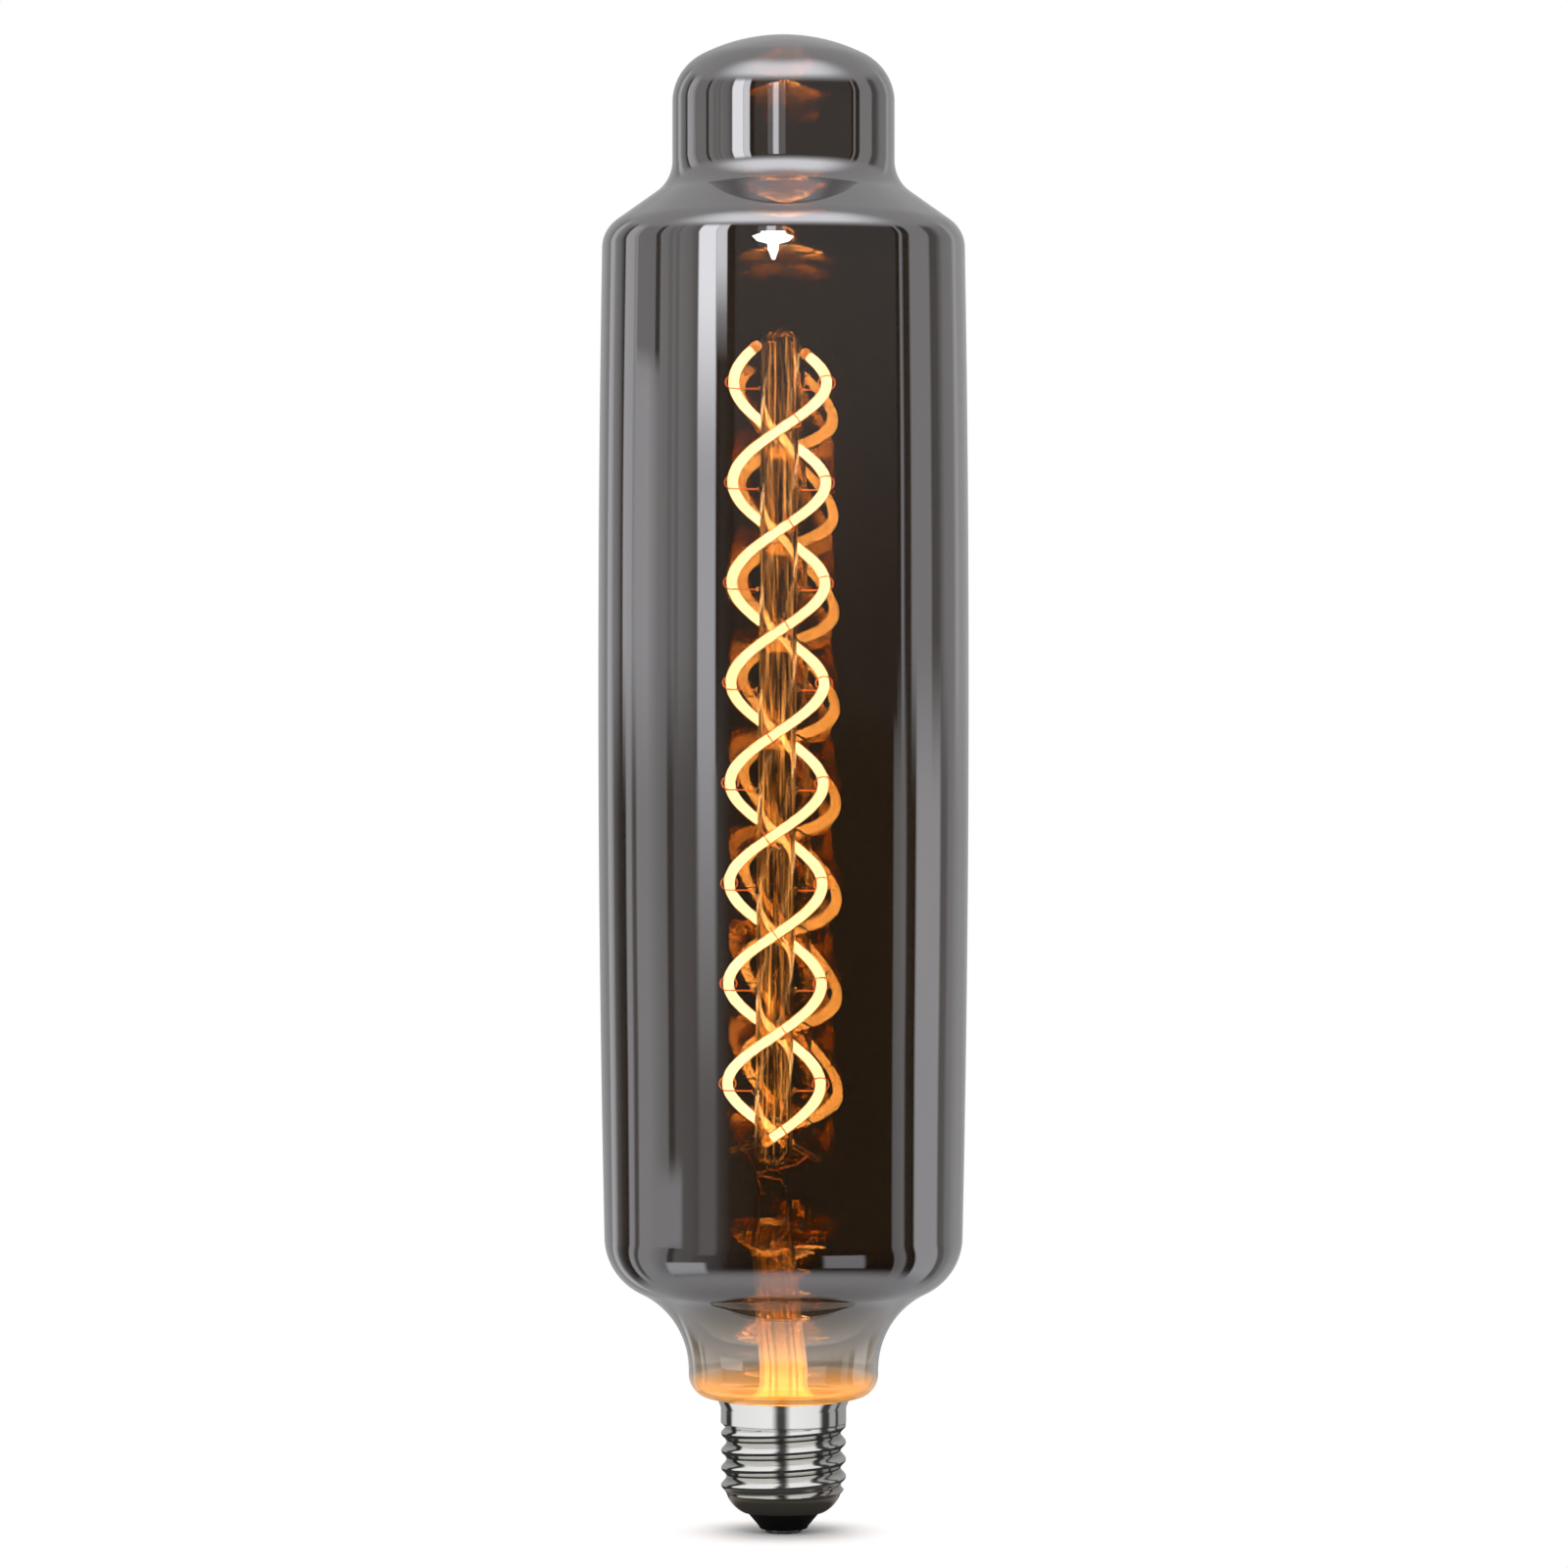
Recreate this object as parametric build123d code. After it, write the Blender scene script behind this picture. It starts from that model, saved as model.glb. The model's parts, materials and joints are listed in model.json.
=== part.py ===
from build123d import *
import os
from math import atan2, cos, degrees, pi, radians, sin, sqrt

# Tubular decorative light bulb with a screw cap and two glowing helical strands.
# Millimetres. The bulb stands on its cap: the origin is the middle of the centre
# contact's bottom face, and +Z runs up the bulb's axis to the crown of the dome.

# Glass envelope, blown in one piece
overall_height = 315.0
glass_wall = 1.0
dome_radius = 23.4
crown_radius = 38.0
dome_knuckle_radius = 11.0
cove_radius = 8.4
cove_z = 288.7
shoulder_slope = 35.5
shoulder_knuckle_radius = 7.0
body_radius_top = 38.2
body_radius_belly = 39.0
body_radius_bottom = 37.7
foot_bulge_radius = 13.0
foot_cove_radius = 18.0
foot_cove_z = 34.2
bowl_radius = 19.95
heel_radius = 5.0
collar_radius = 12.0
collar_fillet = 1.0
collar_end_z = 25.5
heel_above_rim = 0.4

# Screw cap, 27 mm Edison thread in rolled sheet
cap_rim_z = 27.9
cap_sheet = 0.3
thread_crest_radius = 13.15
thread_root_radius = 12.05
thread_pitch = 3.629
thread_low_z = 8.1
thread_lead_in_slope = 0.9
skirt_extra = 0.05
skirt_low_z = 23.1
skirt_runout = 1.3
skirt_overlap = 0.4
lip_flare = 0.55
lip_flare_z = 26.3
lip_land = 0.3
cone_low_z = 4.3
cone_low_radius = 8.6
cone_bulge = 0.35

# Insulator and centre contact
contact_radius = 3.8
contact_height = 0.75
contact_edge = 0.3
shank_radius = 1.2
shank_top_z = 3.4
shank_bore_radius = 0.4
shank_bore_depth = 0.9
insulator_low_radius = 5.15
insulator_top_radius = 7.65
insulator_flange_radius = 9.3
insulator_flange_slope_height = 1.35
insulator_top_z = 7.2
insulator_corner = 0.5
flange_seat = 0.55

# Stem: flare, pinch and pumping tube
flare_tube_radius = 5.05
flare_wall = 1.0
flare_curve_radius = 6.0
flare_straight_z = 35.0
stem_shift = -2.2
stem_waist_z = 60.0
stem_waist_radius = 4.6
pinch_wide = 4.05
pinch_thin = 1.8
pinch_low_z = 66.0
pinch_top_z = 71.3
bore_roof_z = 58.0
bore_roof_radius = 3.7
pump_tube_radius = 1.9
pump_tube_wall = 0.7
pump_tip_z = 18.5
pump_tip_length = 2.2
pump_tip_radius = 0.8

# Glass pillar that carries the strands
pillar_lean = 0.5
pillar_radius = 4.0
pillar_wall = 0.8
pillar_low_z = 77.6
pillar_top_z = 252.6
pillar_foot_radius = 1.5
pillar_round = 1.4
bead_radius = 0.85

# Strands: two helices, half a turn apart
coil_radius = 9.8
coil_pitch = 42.2
strand_radius = 1.13
first_hook_z = 83.75
hooks_per_strand = 16
hook_step = 90.0
strand_first_angle = {"a": 90.0, "b": -90.0}
strand_tail_low = {"a": 24.0, "b": 13.0}
strand_tail_high = {"a": 62.0, "b": 64.0}

# Support hooks in fine wire
hook_wire_radius = 0.15
hook_ring_radius = 1.75
hook_ring_sweep = 300.0
front_hook_swing = {
    "a": [10, -10, 10, 19],
    "b": [11.5, 0, -8, 13],
}

# End tabs of the strands
tab_width = 1.3
tab_thickness = 0.25
tab_length_low = 6.8
tab_length_high = 1.8
tab_hole_radius = 0.25
tab_hole_inset = 1.2
tab_slot_width = 0.5
tab_slot_length = 3.2
tab_slope_low = {"a": 27.0, "b": 12.0}
tab_weld_share = 0.55

# Wires
lead_radius = 0.25
lead_offset = 2.75
lead_board_offset = 3.3
lead_bend_drop = 0.6
lead_exit_z = 72.6
bridge_radius = 0.22
bridge_z = 253.3
bridge_bend = 1.2
# Places where the bridge wire turns over the pillar: across and back
bridge_route = [(0.2, -2.2), (1.4, 2.2)]
sleeve_radius = 0.55
sleeve_length = 2.2
cap_wire_radius = 0.3
lead_bend_radius = 0.6
shell_wire_bend = 1.2
lead_side = {"a": -1, "b": 1}
# Places along each lead above the pinch: across, back, and height over the pinch
lead_route = {
    "a": [(-5.7, 1.0, 4.1), (2.9, 4.9, 5.6), (4.8, 6.4, 7.1)],
    "b": [(-0.6, -2.6, 2.9), (-5.4, -4.0, 4.0)],
}

# Driver in the cap
board_radius = 11.3
board_thickness = 1.0
board_top_z = 15.0
bridge_chip_size = (4.7, 3.9, 1.5)
bridge_chip_place = (-6.2, 4.2)
driver_chip_size = (4.9, 3.9, 1.4)
driver_chip_place = (5.4, -5.0)
capacitor_radius = 3.15
capacitor_height = 5.6
capacitor_place = (-6.0, -2.5)
resistor_radius = 1.2
resistor_length = 6.4
resistor_place = (5.6, 1.0)
chip_chamfer = 0.2
can_fillet = 0.4
shell_wire_place = (0.0, 9.6)
shell_wire_rise = 4.6
shell_wire_reach = 11.35

# Clearances
slip = 0.05
seat_gap = 0.05
hole_gap = 0.1
tab_gap = 0.35
cement_gap = 0.05
# How far a cutting form runs past the face that it opens
cut_past = 1.0

# Worked out from the sizes above
heel_low_z = cap_rim_z + heel_above_rim
heel_centre_z = heel_low_z + heel_radius
skirt_radius = thread_crest_radius + skirt_extra
flare_rim_z = collar_end_z - seat_gap
lead_angle = degrees(atan2(coil_pitch, 2 * pi * coil_radius))
standing = (Align.CENTER, Align.CENTER, Align.MIN)
hanging = (Align.CENTER, Align.CENTER, Align.MAX)


def polar(centre, radius, angle):
    """Point at an angle, in degrees, on a circle in the radius and height plane."""
    return (
        centre[0] + radius * cos(radians(angle)),
        centre[1] + radius * sin(radians(angle)),
    )


def arc(centre, radius, start, end):
    """Arc between two angles of one circle in the radius and height plane."""
    return ThreePointArc(
        polar(centre, radius, start),
        polar(centre, radius, (start + end) / 2),
        polar(centre, radius, end),
    )


def turned(edges):
    """Solid of revolution about Z of a closed outline in radius and height."""
    return revolve(Plane.XZ * make_face(edges), Axis.Z)


def turned_polygon(points):
    """Solid of revolution of a straight-sided outline."""
    return turned(Polyline(*points, close=True))


def chained(pieces):
    """Edges of a half outline, with straight runs added between loose ends."""
    edges = []
    last = None
    for piece in pieces:
        start = piece @ 0
        if last is not None and (start - last).length > 1e-6:
            edges.append(Line(last, start))
        edges.append(piece)
        last = piece @ 1
    return edges


# Envelope
def envelope_outline(inset):
    """Half outline of the glass from crown to collar, moved in by inset."""
    crown = (0.0, overall_height - crown_radius)
    knuckle_x = dome_radius - dome_knuckle_radius
    reach = crown_radius - dome_knuckle_radius
    knuckle = (knuckle_x, crown[1] + sqrt(reach**2 - knuckle_x**2))
    knuckle_angle = degrees(atan2(knuckle[1] - crown[1], knuckle[0]))

    cove = (dome_radius + cove_radius, cove_z)
    normal = 90.0 - shoulder_slope
    shoulder_x = body_radius_top - shoulder_knuckle_radius
    drop = cove_radius + shoulder_knuckle_radius
    drop += (shoulder_x - cove[0]) * cos(radians(normal))
    shoulder = (shoulder_x, cove_z - drop / sin(radians(normal)))

    foot_cove = (bowl_radius + foot_cove_radius, foot_cove_z)
    bulge_x = body_radius_bottom - foot_bulge_radius
    reach = foot_bulge_radius + foot_cove_radius
    bulge = (bulge_x, foot_cove_z + sqrt(reach**2 - (foot_cove[0] - bulge_x) ** 2))
    turn = degrees(atan2(foot_cove[1] - bulge[1], foot_cove[0] - bulge[0]))

    heel = (bowl_radius - heel_radius, heel_centre_z)
    fillet = (collar_radius + collar_fillet, heel_low_z - collar_fillet)
    belly = ThreePointArc(
        (body_radius_top - inset, shoulder[1]),
        (body_radius_belly - inset, (shoulder[1] + bulge[1]) / 2),
        (body_radius_bottom - inset, bulge[1]),
    )
    end = (collar_radius - inset, collar_end_z)
    return chained(
        [
            arc(crown, crown_radius - inset, 90.0, knuckle_angle),
            arc(knuckle, dome_knuckle_radius - inset, knuckle_angle, 0.0),
            arc(cove, cove_radius + inset, 180.0, 180.0 + normal),
            arc(shoulder, shoulder_knuckle_radius - inset, normal, 0.0),
            belly,
            arc(bulge, foot_bulge_radius - inset, 0.0, turn),
            arc(foot_cove, foot_cove_radius + inset, 180.0 + turn, 180.0),
            arc(heel, heel_radius - inset, 0.0, -90.0),
            arc(fillet, collar_fillet + inset, 90.0, 180.0),
            Line((collar_radius - inset, fillet[1]), end),
        ]
    )


def glass_envelope():
    outer = envelope_outline(0.0)
    inner = envelope_outline(glass_wall)
    crown = Line((0, overall_height), (0, overall_height - glass_wall))
    rim = Line(outer[-1] @ 1, inner[-1] @ 1)
    return turned([crown, *outer, rim, *inner])


# Screw cap
def threaded_core(inset):
    """Rolled thread: a circle set off the axis climbs a helix without turning."""
    middle = (thread_crest_radius + thread_root_radius) / 2
    swing = (thread_crest_radius - thread_root_radius) / 2
    height = skirt_low_z + skirt_overlap - thread_low_z
    path = Helix(thread_pitch, height, swing, center=(0, 0, thread_low_z))
    ring = Pos(swing, 0, thread_low_z) * Circle(middle - inset)
    core = sweep(ring, path=path, normal=(0, 0, 1))
    wide = thread_crest_radius + cut_past
    low = thread_root_radius - slip - inset
    lead_in = turned_polygon(
        [
            (0, thread_low_z),
            (low, thread_low_z),
            (wide, thread_low_z + (wide - low) / thread_lead_in_slope),
            (wide, thread_low_z + height),
            (0, thread_low_z + height),
        ]
    )
    return core & lead_in


def cap_form(inset, rim_z):
    """Outer form of the cap shell, moved in by inset and open up to rim_z."""
    low = cone_low_z + inset
    cone_top = (thread_root_radius - slip - inset, thread_low_z)
    cone_foot = (cone_low_radius - inset, low)
    middle = (
        (cone_top[0] + cone_foot[0]) / 2 + cone_bulge,
        (cone_top[1] + cone_foot[1]) / 2 - cone_bulge,
    )
    cone = turned(
        [
            Line((0, low), cone_foot),
            ThreePointArc(cone_foot, middle, cone_top),
            Line(cone_top, (0, thread_low_z)),
            Line((0, thread_low_z), (0, low)),
        ]
    )
    radius = skirt_radius - inset
    lip = radius + lip_flare
    skirt = turned_polygon(
        [
            (0, skirt_low_z - skirt_runout),
            (radius - skirt_runout, skirt_low_z - skirt_runout),
            (radius, skirt_low_z),
            (radius, lip_flare_z),
            (lip, cap_rim_z - lip_land),
            (lip, rim_z),
            (0, rim_z),
        ]
    )
    return cone + threaded_core(inset) + skirt


def cap_shell():
    hollow = cap_form(cap_sheet, cap_rim_z + cut_past)
    lip_hole = Cylinder(
        insulator_top_radius + hole_gap,
        2 * (cap_sheet + cut_past),
    )
    return cap_form(0.0, cap_rim_z) - hollow - Pos(0, 0, cone_low_z) * lip_hole


def cap_insulator():
    bore = shank_radius + slip
    seat_z = cone_low_z + cap_sheet + seat_gap
    corner_x = insulator_low_radius - insulator_corner
    low = Line((bore, contact_height), (corner_x, contact_height))
    corner = arc((corner_x, contact_height + insulator_corner), insulator_corner, -90.0, 0.0)
    neck = (insulator_top_radius, cone_low_z - hole_gap)
    rest = Polyline(
        corner @ 1,
        neck,
        (insulator_top_radius, seat_z),
        (insulator_top_radius + flange_seat, seat_z),
        (insulator_flange_radius, seat_z + insulator_flange_slope_height),
        (insulator_flange_radius, insulator_top_z),
        (bore, insulator_top_z),
        (bore, contact_height),
    )
    return turned([low, corner, rest])


def centre_contact():
    bore_z = shank_top_z - shank_bore_depth
    return turned_polygon(
        [
            (0, 0),
            (contact_radius - contact_edge, 0),
            (contact_radius, contact_edge),
            (contact_radius, contact_height),
            (shank_radius, contact_height),
            (shank_radius, shank_top_z),
            (shank_bore_radius, shank_top_z),
            (shank_bore_radius, bore_z),
            (0, bore_z),
        ]
    )


def basing_cement():
    inner = collar_radius + cement_gap
    outer = skirt_radius - cap_sheet - cement_gap
    low = flare_rim_z - flare_wall
    return turned_polygon([(inner, low), (outer, low), (outer, lip_flare_z), (inner, lip_flare_z)])


# Stem
def stem_axis_x(z):
    """Sideways place of the stem's leaning tube at a height."""
    share = (z - flare_straight_z) / (stem_waist_z - flare_straight_z)
    return stem_shift * max(0.0, share)


def level(z, shape):
    """A flat section set on the stem's leaning axis at a height."""
    return Pos(stem_axis_x(min(z, stem_waist_z)), 0, z) * shape


def trumpet(radius, curve, rim_z):
    """Upright foot of the flare, as a solid form."""
    centre = (flare_tube_radius + flare_curve_radius, flare_rim_z + flare_curve_radius)
    sweep_in = arc(centre, curve, 180.0, 270.0)
    return turned(
        [
            Line((0, flare_straight_z), (radius, flare_straight_z)),
            Line((radius, flare_straight_z), sweep_in @ 0),
            sweep_in,
            Line(sweep_in @ 1, (collar_radius, sweep_in.position_at(1).Y)),
            Line((collar_radius, sweep_in.position_at(1).Y), (collar_radius, rim_z)),
            Line((collar_radius, rim_z), (0, rim_z)),
            Line((0, rim_z), (0, flare_straight_z)),
        ]
    )


def stem_flare():
    rim_low = flare_rim_z - flare_wall
    outer = trumpet(flare_tube_radius, flare_curve_radius, rim_low)
    outer += loft(
        [
            level(flare_straight_z, Circle(flare_tube_radius)),
            level(stem_waist_z, Circle(stem_waist_radius)),
        ],
        ruled=True,
    )
    outer += loft(
        [
            level(stem_waist_z, Circle(stem_waist_radius)),
            level(pinch_low_z, Ellipse(pinch_wide, pinch_thin)),
        ],
        ruled=True,
    )
    pinch = level(pinch_low_z, Ellipse(pinch_wide, pinch_thin))
    outer += extrude(pinch, amount=pinch_top_z - pinch_low_z)
    bore = flare_tube_radius - flare_wall
    inner = trumpet(bore, flare_curve_radius + flare_wall, rim_low - cut_past)
    inner += loft(
        [
            level(flare_straight_z, Circle(bore)),
            level(bore_roof_z, Circle(bore_roof_radius)),
        ],
        ruled=True,
    )
    solid = outer - inner
    for side in (-1, 1):
        hole = Cylinder(lead_radius + slip, pinch_top_z - bore_roof_z + 2 * cut_past)
        middle = (pinch_top_z + bore_roof_z) / 2
        solid -= Pos(stem_shift + side * lead_offset, 0, middle) * hole
    return solid


def exhaust_tube():
    """Pumping tube under the pinch, sealed to a tip above the board."""
    tip_start = pump_tip_z + pump_tip_length
    top = bore_roof_z - seat_gap

    def leg(low, low_radius, high, high_radius):
        ends = [level(low, Circle(low_radius)), level(high, Circle(high_radius))]
        return loft(ends, ruled=True)

    def column(radius, high):
        lower = leg(tip_start, radius, flare_straight_z, radius)
        return lower + leg(flare_straight_z, radius, high, radius)

    tip = leg(pump_tip_z, pump_tip_radius, tip_start, pump_tube_radius)
    bore = pump_tube_radius - pump_tube_wall
    return tip + column(pump_tube_radius, top) - column(bore, top + cut_past)


# Pillar, strands and hooks share one frame that leans a little
mount = Pos(stem_shift, 0, pinch_top_z) * Rot(0, pillar_lean, 0)


def in_mount(x, y, z):
    """World place of a point given beside the pillar's axis at a bulb height."""
    return (mount * Pos(x, y, z - pinch_top_z)).position


def strand_height(turned_by):
    """Bulb height on a strand after an angle counted from its first hook."""
    return first_hook_z + coil_pitch * turned_by / 360.0


def strand_plane(strand, turned_by):
    """Plane across a strand: x points out from the pillar, y up the wire's face."""
    angle = radians(strand_first_angle[strand] + turned_by)
    out = Vector(cos(angle), sin(angle), 0)
    along = Vector(-sin(angle), cos(angle), 0) * cos(radians(lead_angle))
    along += Vector(0, 0, sin(radians(lead_angle)))
    origin = out * coil_radius + Vector(0, 0, strand_height(turned_by) - pinch_top_z)
    return Plane(origin=origin, x_dir=out, z_dir=-along)


def hook_turn(strand, number):
    """Angle of a hook along its strand. The ones at the front aren't quite even."""
    turned_by = number * hook_step
    facing = (strand_first_angle[strand] + turned_by) % 360.0
    if facing == 270.0:
        turned_by += front_hook_swing[strand][number // 4]
    return turned_by


def hook_root():
    """How far inside the ring's centre a hook's wire starts, and its side shift."""
    aside = hook_ring_radius * sin(radians(lead_angle))
    return sqrt(pillar_radius**2 - aside**2), aside


def support_hook(strand, number):
    wall_reach, _ = hook_root()
    start_x = wall_reach + bead_radius + seat_gap - coil_radius
    run = Line((start_x, -hook_ring_radius), (0, -hook_ring_radius))
    ring = CenterArc((0, 0), hook_ring_radius, -90.0, hook_ring_sweep)
    section = Plane(origin=run @ 0, z_dir=(1, 0, 0)) * Circle(hook_wire_radius)
    wire = sweep(section, path=run + ring)
    return mount * strand_plane(strand, hook_turn(strand, number)).location * wire


def centre_pillar():
    low = seat_gap
    step = pillar_low_z - pinch_top_z
    top = pillar_top_z - pinch_top_z
    outline = Polyline(
        (0, low),
        (pillar_foot_radius, low),
        (pillar_foot_radius, step),
        (pillar_radius - pillar_round, step),
        (pillar_radius, step + pillar_round),
        (pillar_radius, top - pillar_round),
        (pillar_radius - pillar_round, top),
        (0, top),
        close=True,
    )
    solid = turned(outline)
    wall_reach, aside = hook_root()
    for strand in strand_first_angle:
        for number in range(hooks_per_strand):
            plane = strand_plane(strand, hook_turn(strand, number))
            place = plane.location * Pos(wall_reach - coil_radius, -hook_ring_radius, 0)
            solid += place * Sphere(bead_radius)
    hollow_low = step + pillar_wall
    hollow_high = top - pillar_wall
    hollow = turned_polygon(
        [
            (0, hollow_low),
            (pillar_radius - pillar_wall - pillar_round, hollow_low),
            (pillar_radius - pillar_wall, hollow_low + pillar_round),
            (pillar_radius - pillar_wall, hollow_high - pillar_round),
            (pillar_radius - pillar_wall - pillar_round, hollow_high),
            (0, hollow_high),
        ]
    )
    return mount * (solid - hollow)


def strand_turns(strand):
    return hook_step * (hooks_per_strand - 1) + strand_tail_high[strand] + strand_tail_low[strand]


def filament(strand):
    start = -strand_tail_low[strand]
    rise = coil_pitch * strand_turns(strand) / 360.0
    path = Helix(coil_pitch, rise, coil_radius)
    section = Plane(origin=path @ 0, z_dir=path % 0) * Circle(strand_radius)
    coil = sweep(section, path=path, is_frenet=True)
    turn = Rot(0, 0, strand_first_angle[strand] + start)
    return mount * Pos(0, 0, strand_height(start) - pinch_top_z) * turn * coil


# End tabs
def tab_plane(strand, end):
    """Plane on a strand's end face: x along the tab, z out from the pillar."""
    low = end == "low"
    turned_by = -strand_tail_low[strand]
    if not low:
        turned_by += strand_turns(strand)
    angle = radians(strand_first_angle[strand] + turned_by)
    slope = radians(tab_slope_low[strand] if low else lead_angle)
    out = Vector(cos(angle), sin(angle), 0)
    along = Vector(-sin(angle), cos(angle), 0) * cos(slope) + Vector(0, 0, sin(slope))
    if low:
        along = -along
    origin = out * coil_radius + Vector(0, 0, strand_height(turned_by) - pinch_top_z)
    return Plane(origin=origin, x_dir=along, z_dir=out)


def tab_length(end):
    return tab_length_low if end == "low" else tab_length_high


def end_tab(strand, end):
    length = tab_length(end)
    blank = Pos(tab_gap + length / 2, 0) * Rectangle(length, tab_width)
    if end == "low":
        blank -= Pos(tab_gap + tab_slot_length / 2, 0) * Rectangle(tab_slot_length, tab_slot_width)
        blank -= Pos(tab_gap + length - tab_hole_inset, 0) * Circle(tab_hole_radius)
    plate = extrude(blank, amount=tab_thickness / 2, both=True)
    return mount * tab_plane(strand, end).location * plate


def tab_weld(strand, end, wire_radius):
    """World point beside a tab's inner face where a wire is welded on."""
    along = tab_gap + tab_length(end) * (tab_weld_share if end == "low" else 1.0)
    inward = tab_thickness / 2 + wire_radius + slip
    place = mount * tab_plane(strand, end).location * Pos(along, 0, -inward)
    return place.position


# Wires
def wire_along(points, radius, bend):
    """Round wire on straight runs joined by arcs."""
    path = FilletPolyline(*points, radius=bend)
    section = Plane(origin=path @ 0, z_dir=path % 0) * Circle(radius)
    return sweep(section, path=path)


def stem_run(side):
    """Points of a lead from the board up through the flare and out of the pinch."""
    pinch_x = stem_shift + side * lead_offset
    return [
        Vector(side * lead_board_offset, 0, board_top_z + slip),
        Vector(side * lead_offset, 0, flare_straight_z),
        Vector(pinch_x, 0, bore_roof_z - lead_bend_drop),
        Vector(pinch_x, 0, lead_exit_z),
    ]


def lead_wire(strand):
    """Lead from the board, past the pillar's foot, to the strand's lower tab."""
    x_side = lead_side[strand]
    route = [Vector(x, y, pinch_top_z + up) for x, y, up in lead_route[strand]]
    weld = tab_weld(strand, "low", lead_radius)
    return wire_along(stem_run(x_side) + route + [weld], lead_radius, lead_bend_radius)


def bridge_points():
    return [
        tab_weld("b", "high", bridge_radius),
        *[in_mount(x, y, bridge_z) for x, y in bridge_route],
        tab_weld("a", "high", bridge_radius),
    ]


def top_bridge_wire():
    return wire_along(bridge_points(), bridge_radius, bridge_bend)


def bridge_sleeve():
    points = bridge_points()
    along = (points[2] - points[1]).normalized()
    middle = (points[1] + points[2]) / 2
    plane = Plane(origin=middle, z_dir=along)
    tube = Cylinder(sleeve_radius, sleeve_length) - Cylinder(bridge_radius + slip, sleeve_length)
    return plane.location * tube


def contact_wire():
    top = board_top_z - board_thickness - slip
    low = shank_top_z - shank_bore_depth + slip
    return Pos(0, 0, low) * Cylinder(cap_wire_radius, top - low, align=standing)


def shell_wire():
    x, y = shell_wire_place
    low = board_top_z + slip
    points = [
        (x, y, low),
        (x, y, low + shell_wire_rise / 2),
        (x, shell_wire_reach, low + shell_wire_rise),
    ]
    return wire_along(points, cap_wire_radius, shell_wire_bend)


# Driver
def driver_board():
    disc = Cylinder(board_radius, board_thickness, align=standing)
    return Pos(0, 0, board_top_z - board_thickness) * disc


def chip(size, place):
    width, depth, height = size
    body = Box(width, depth, height, align=standing)
    body = chamfer(body.faces().sort_by(Axis.Z)[-1].edges(), chip_chamfer)
    return Pos(place[0], place[1], board_top_z) * body


def smoothing_capacitor():
    can = Cylinder(capacitor_radius, capacitor_height, align=hanging)
    can = fillet(can.edges().filter_by(GeomType.CIRCLE), can_fillet)
    return Pos(*capacitor_place, board_top_z - board_thickness) * can


def fuse_resistor():
    body = Rot(90, 0, 0) * Cylinder(resistor_radius, resistor_length)
    body = fillet(body.edges().filter_by(GeomType.CIRCLE), can_fillet)
    z = board_top_z - board_thickness - resistor_radius - slip
    return Pos(*resistor_place, z) * body


def save(shape, name):
    export_step(shape, f"parts/{name}.step")


os.makedirs("parts", exist_ok=True)
save(glass_envelope(), "glass_envelope")
save(cap_shell(), "cap_shell")
save(cap_insulator(), "cap_insulator")
save(centre_contact(), "centre_contact")
save(basing_cement(), "basing_cement")
save(stem_flare(), "stem_flare")
save(exhaust_tube(), "exhaust_tube")
save(centre_pillar(), "centre_pillar")
for strand in strand_first_angle:
    save(filament(strand), f"filament_{strand}")
    save(end_tab(strand, "low"), f"end_tab_{strand}_low")
    save(end_tab(strand, "high"), f"end_tab_{strand}_high")
    save(lead_wire(strand), f"lead_wire_{strand}")
    for number in range(hooks_per_strand):
        save(support_hook(strand, number), f"support_hook_{strand}_{number + 1}")
save(top_bridge_wire(), "top_bridge_wire")
save(bridge_sleeve(), "bridge_sleeve")
save(contact_wire(), "contact_wire")
save(shell_wire(), "shell_wire")
save(driver_board(), "driver_board")
save(chip(bridge_chip_size, bridge_chip_place), "bridge_rectifier")
save(chip(driver_chip_size, driver_chip_place), "driver_chip")
save(smoothing_capacitor(), "smoothing_capacitor")
save(fuse_resistor(), "fuse_resistor")
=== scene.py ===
# %% [markdown]
# # A lit tube lamp in smoked glass
#
# The lamp is a long blown tube with a thin mirror coating, a nickel screw cap and two glowing
# strands wound round a glass pillar. Its solids are already made at their real size. This lesson
# dresses them: it gives each one a finish, swaps four of them for smoother meshes of the same
# form, and sets up a small studio, because mirror-coated glass shows mostly what stands round it.

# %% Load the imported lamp
import json
from math import atan2, cos, degrees, hypot, pi, radians, sin, sqrt, tan

import bpy
from mathutils import Matrix, Vector


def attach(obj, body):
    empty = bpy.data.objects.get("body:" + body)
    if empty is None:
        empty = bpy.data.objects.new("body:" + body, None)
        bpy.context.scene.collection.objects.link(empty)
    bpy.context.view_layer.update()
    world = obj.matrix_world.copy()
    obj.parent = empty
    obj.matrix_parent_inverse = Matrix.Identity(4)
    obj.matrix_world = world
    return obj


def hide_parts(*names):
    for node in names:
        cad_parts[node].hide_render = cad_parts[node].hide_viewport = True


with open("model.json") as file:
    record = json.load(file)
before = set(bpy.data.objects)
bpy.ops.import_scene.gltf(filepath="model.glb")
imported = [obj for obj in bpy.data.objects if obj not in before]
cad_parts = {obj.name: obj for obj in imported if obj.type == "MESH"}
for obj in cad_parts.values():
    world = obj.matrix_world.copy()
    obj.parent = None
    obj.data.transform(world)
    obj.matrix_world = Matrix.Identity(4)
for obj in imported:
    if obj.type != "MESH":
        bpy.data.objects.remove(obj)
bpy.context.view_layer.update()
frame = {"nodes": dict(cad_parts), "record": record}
nodes = frame["nodes"]
scene = bpy.context.scene

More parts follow.
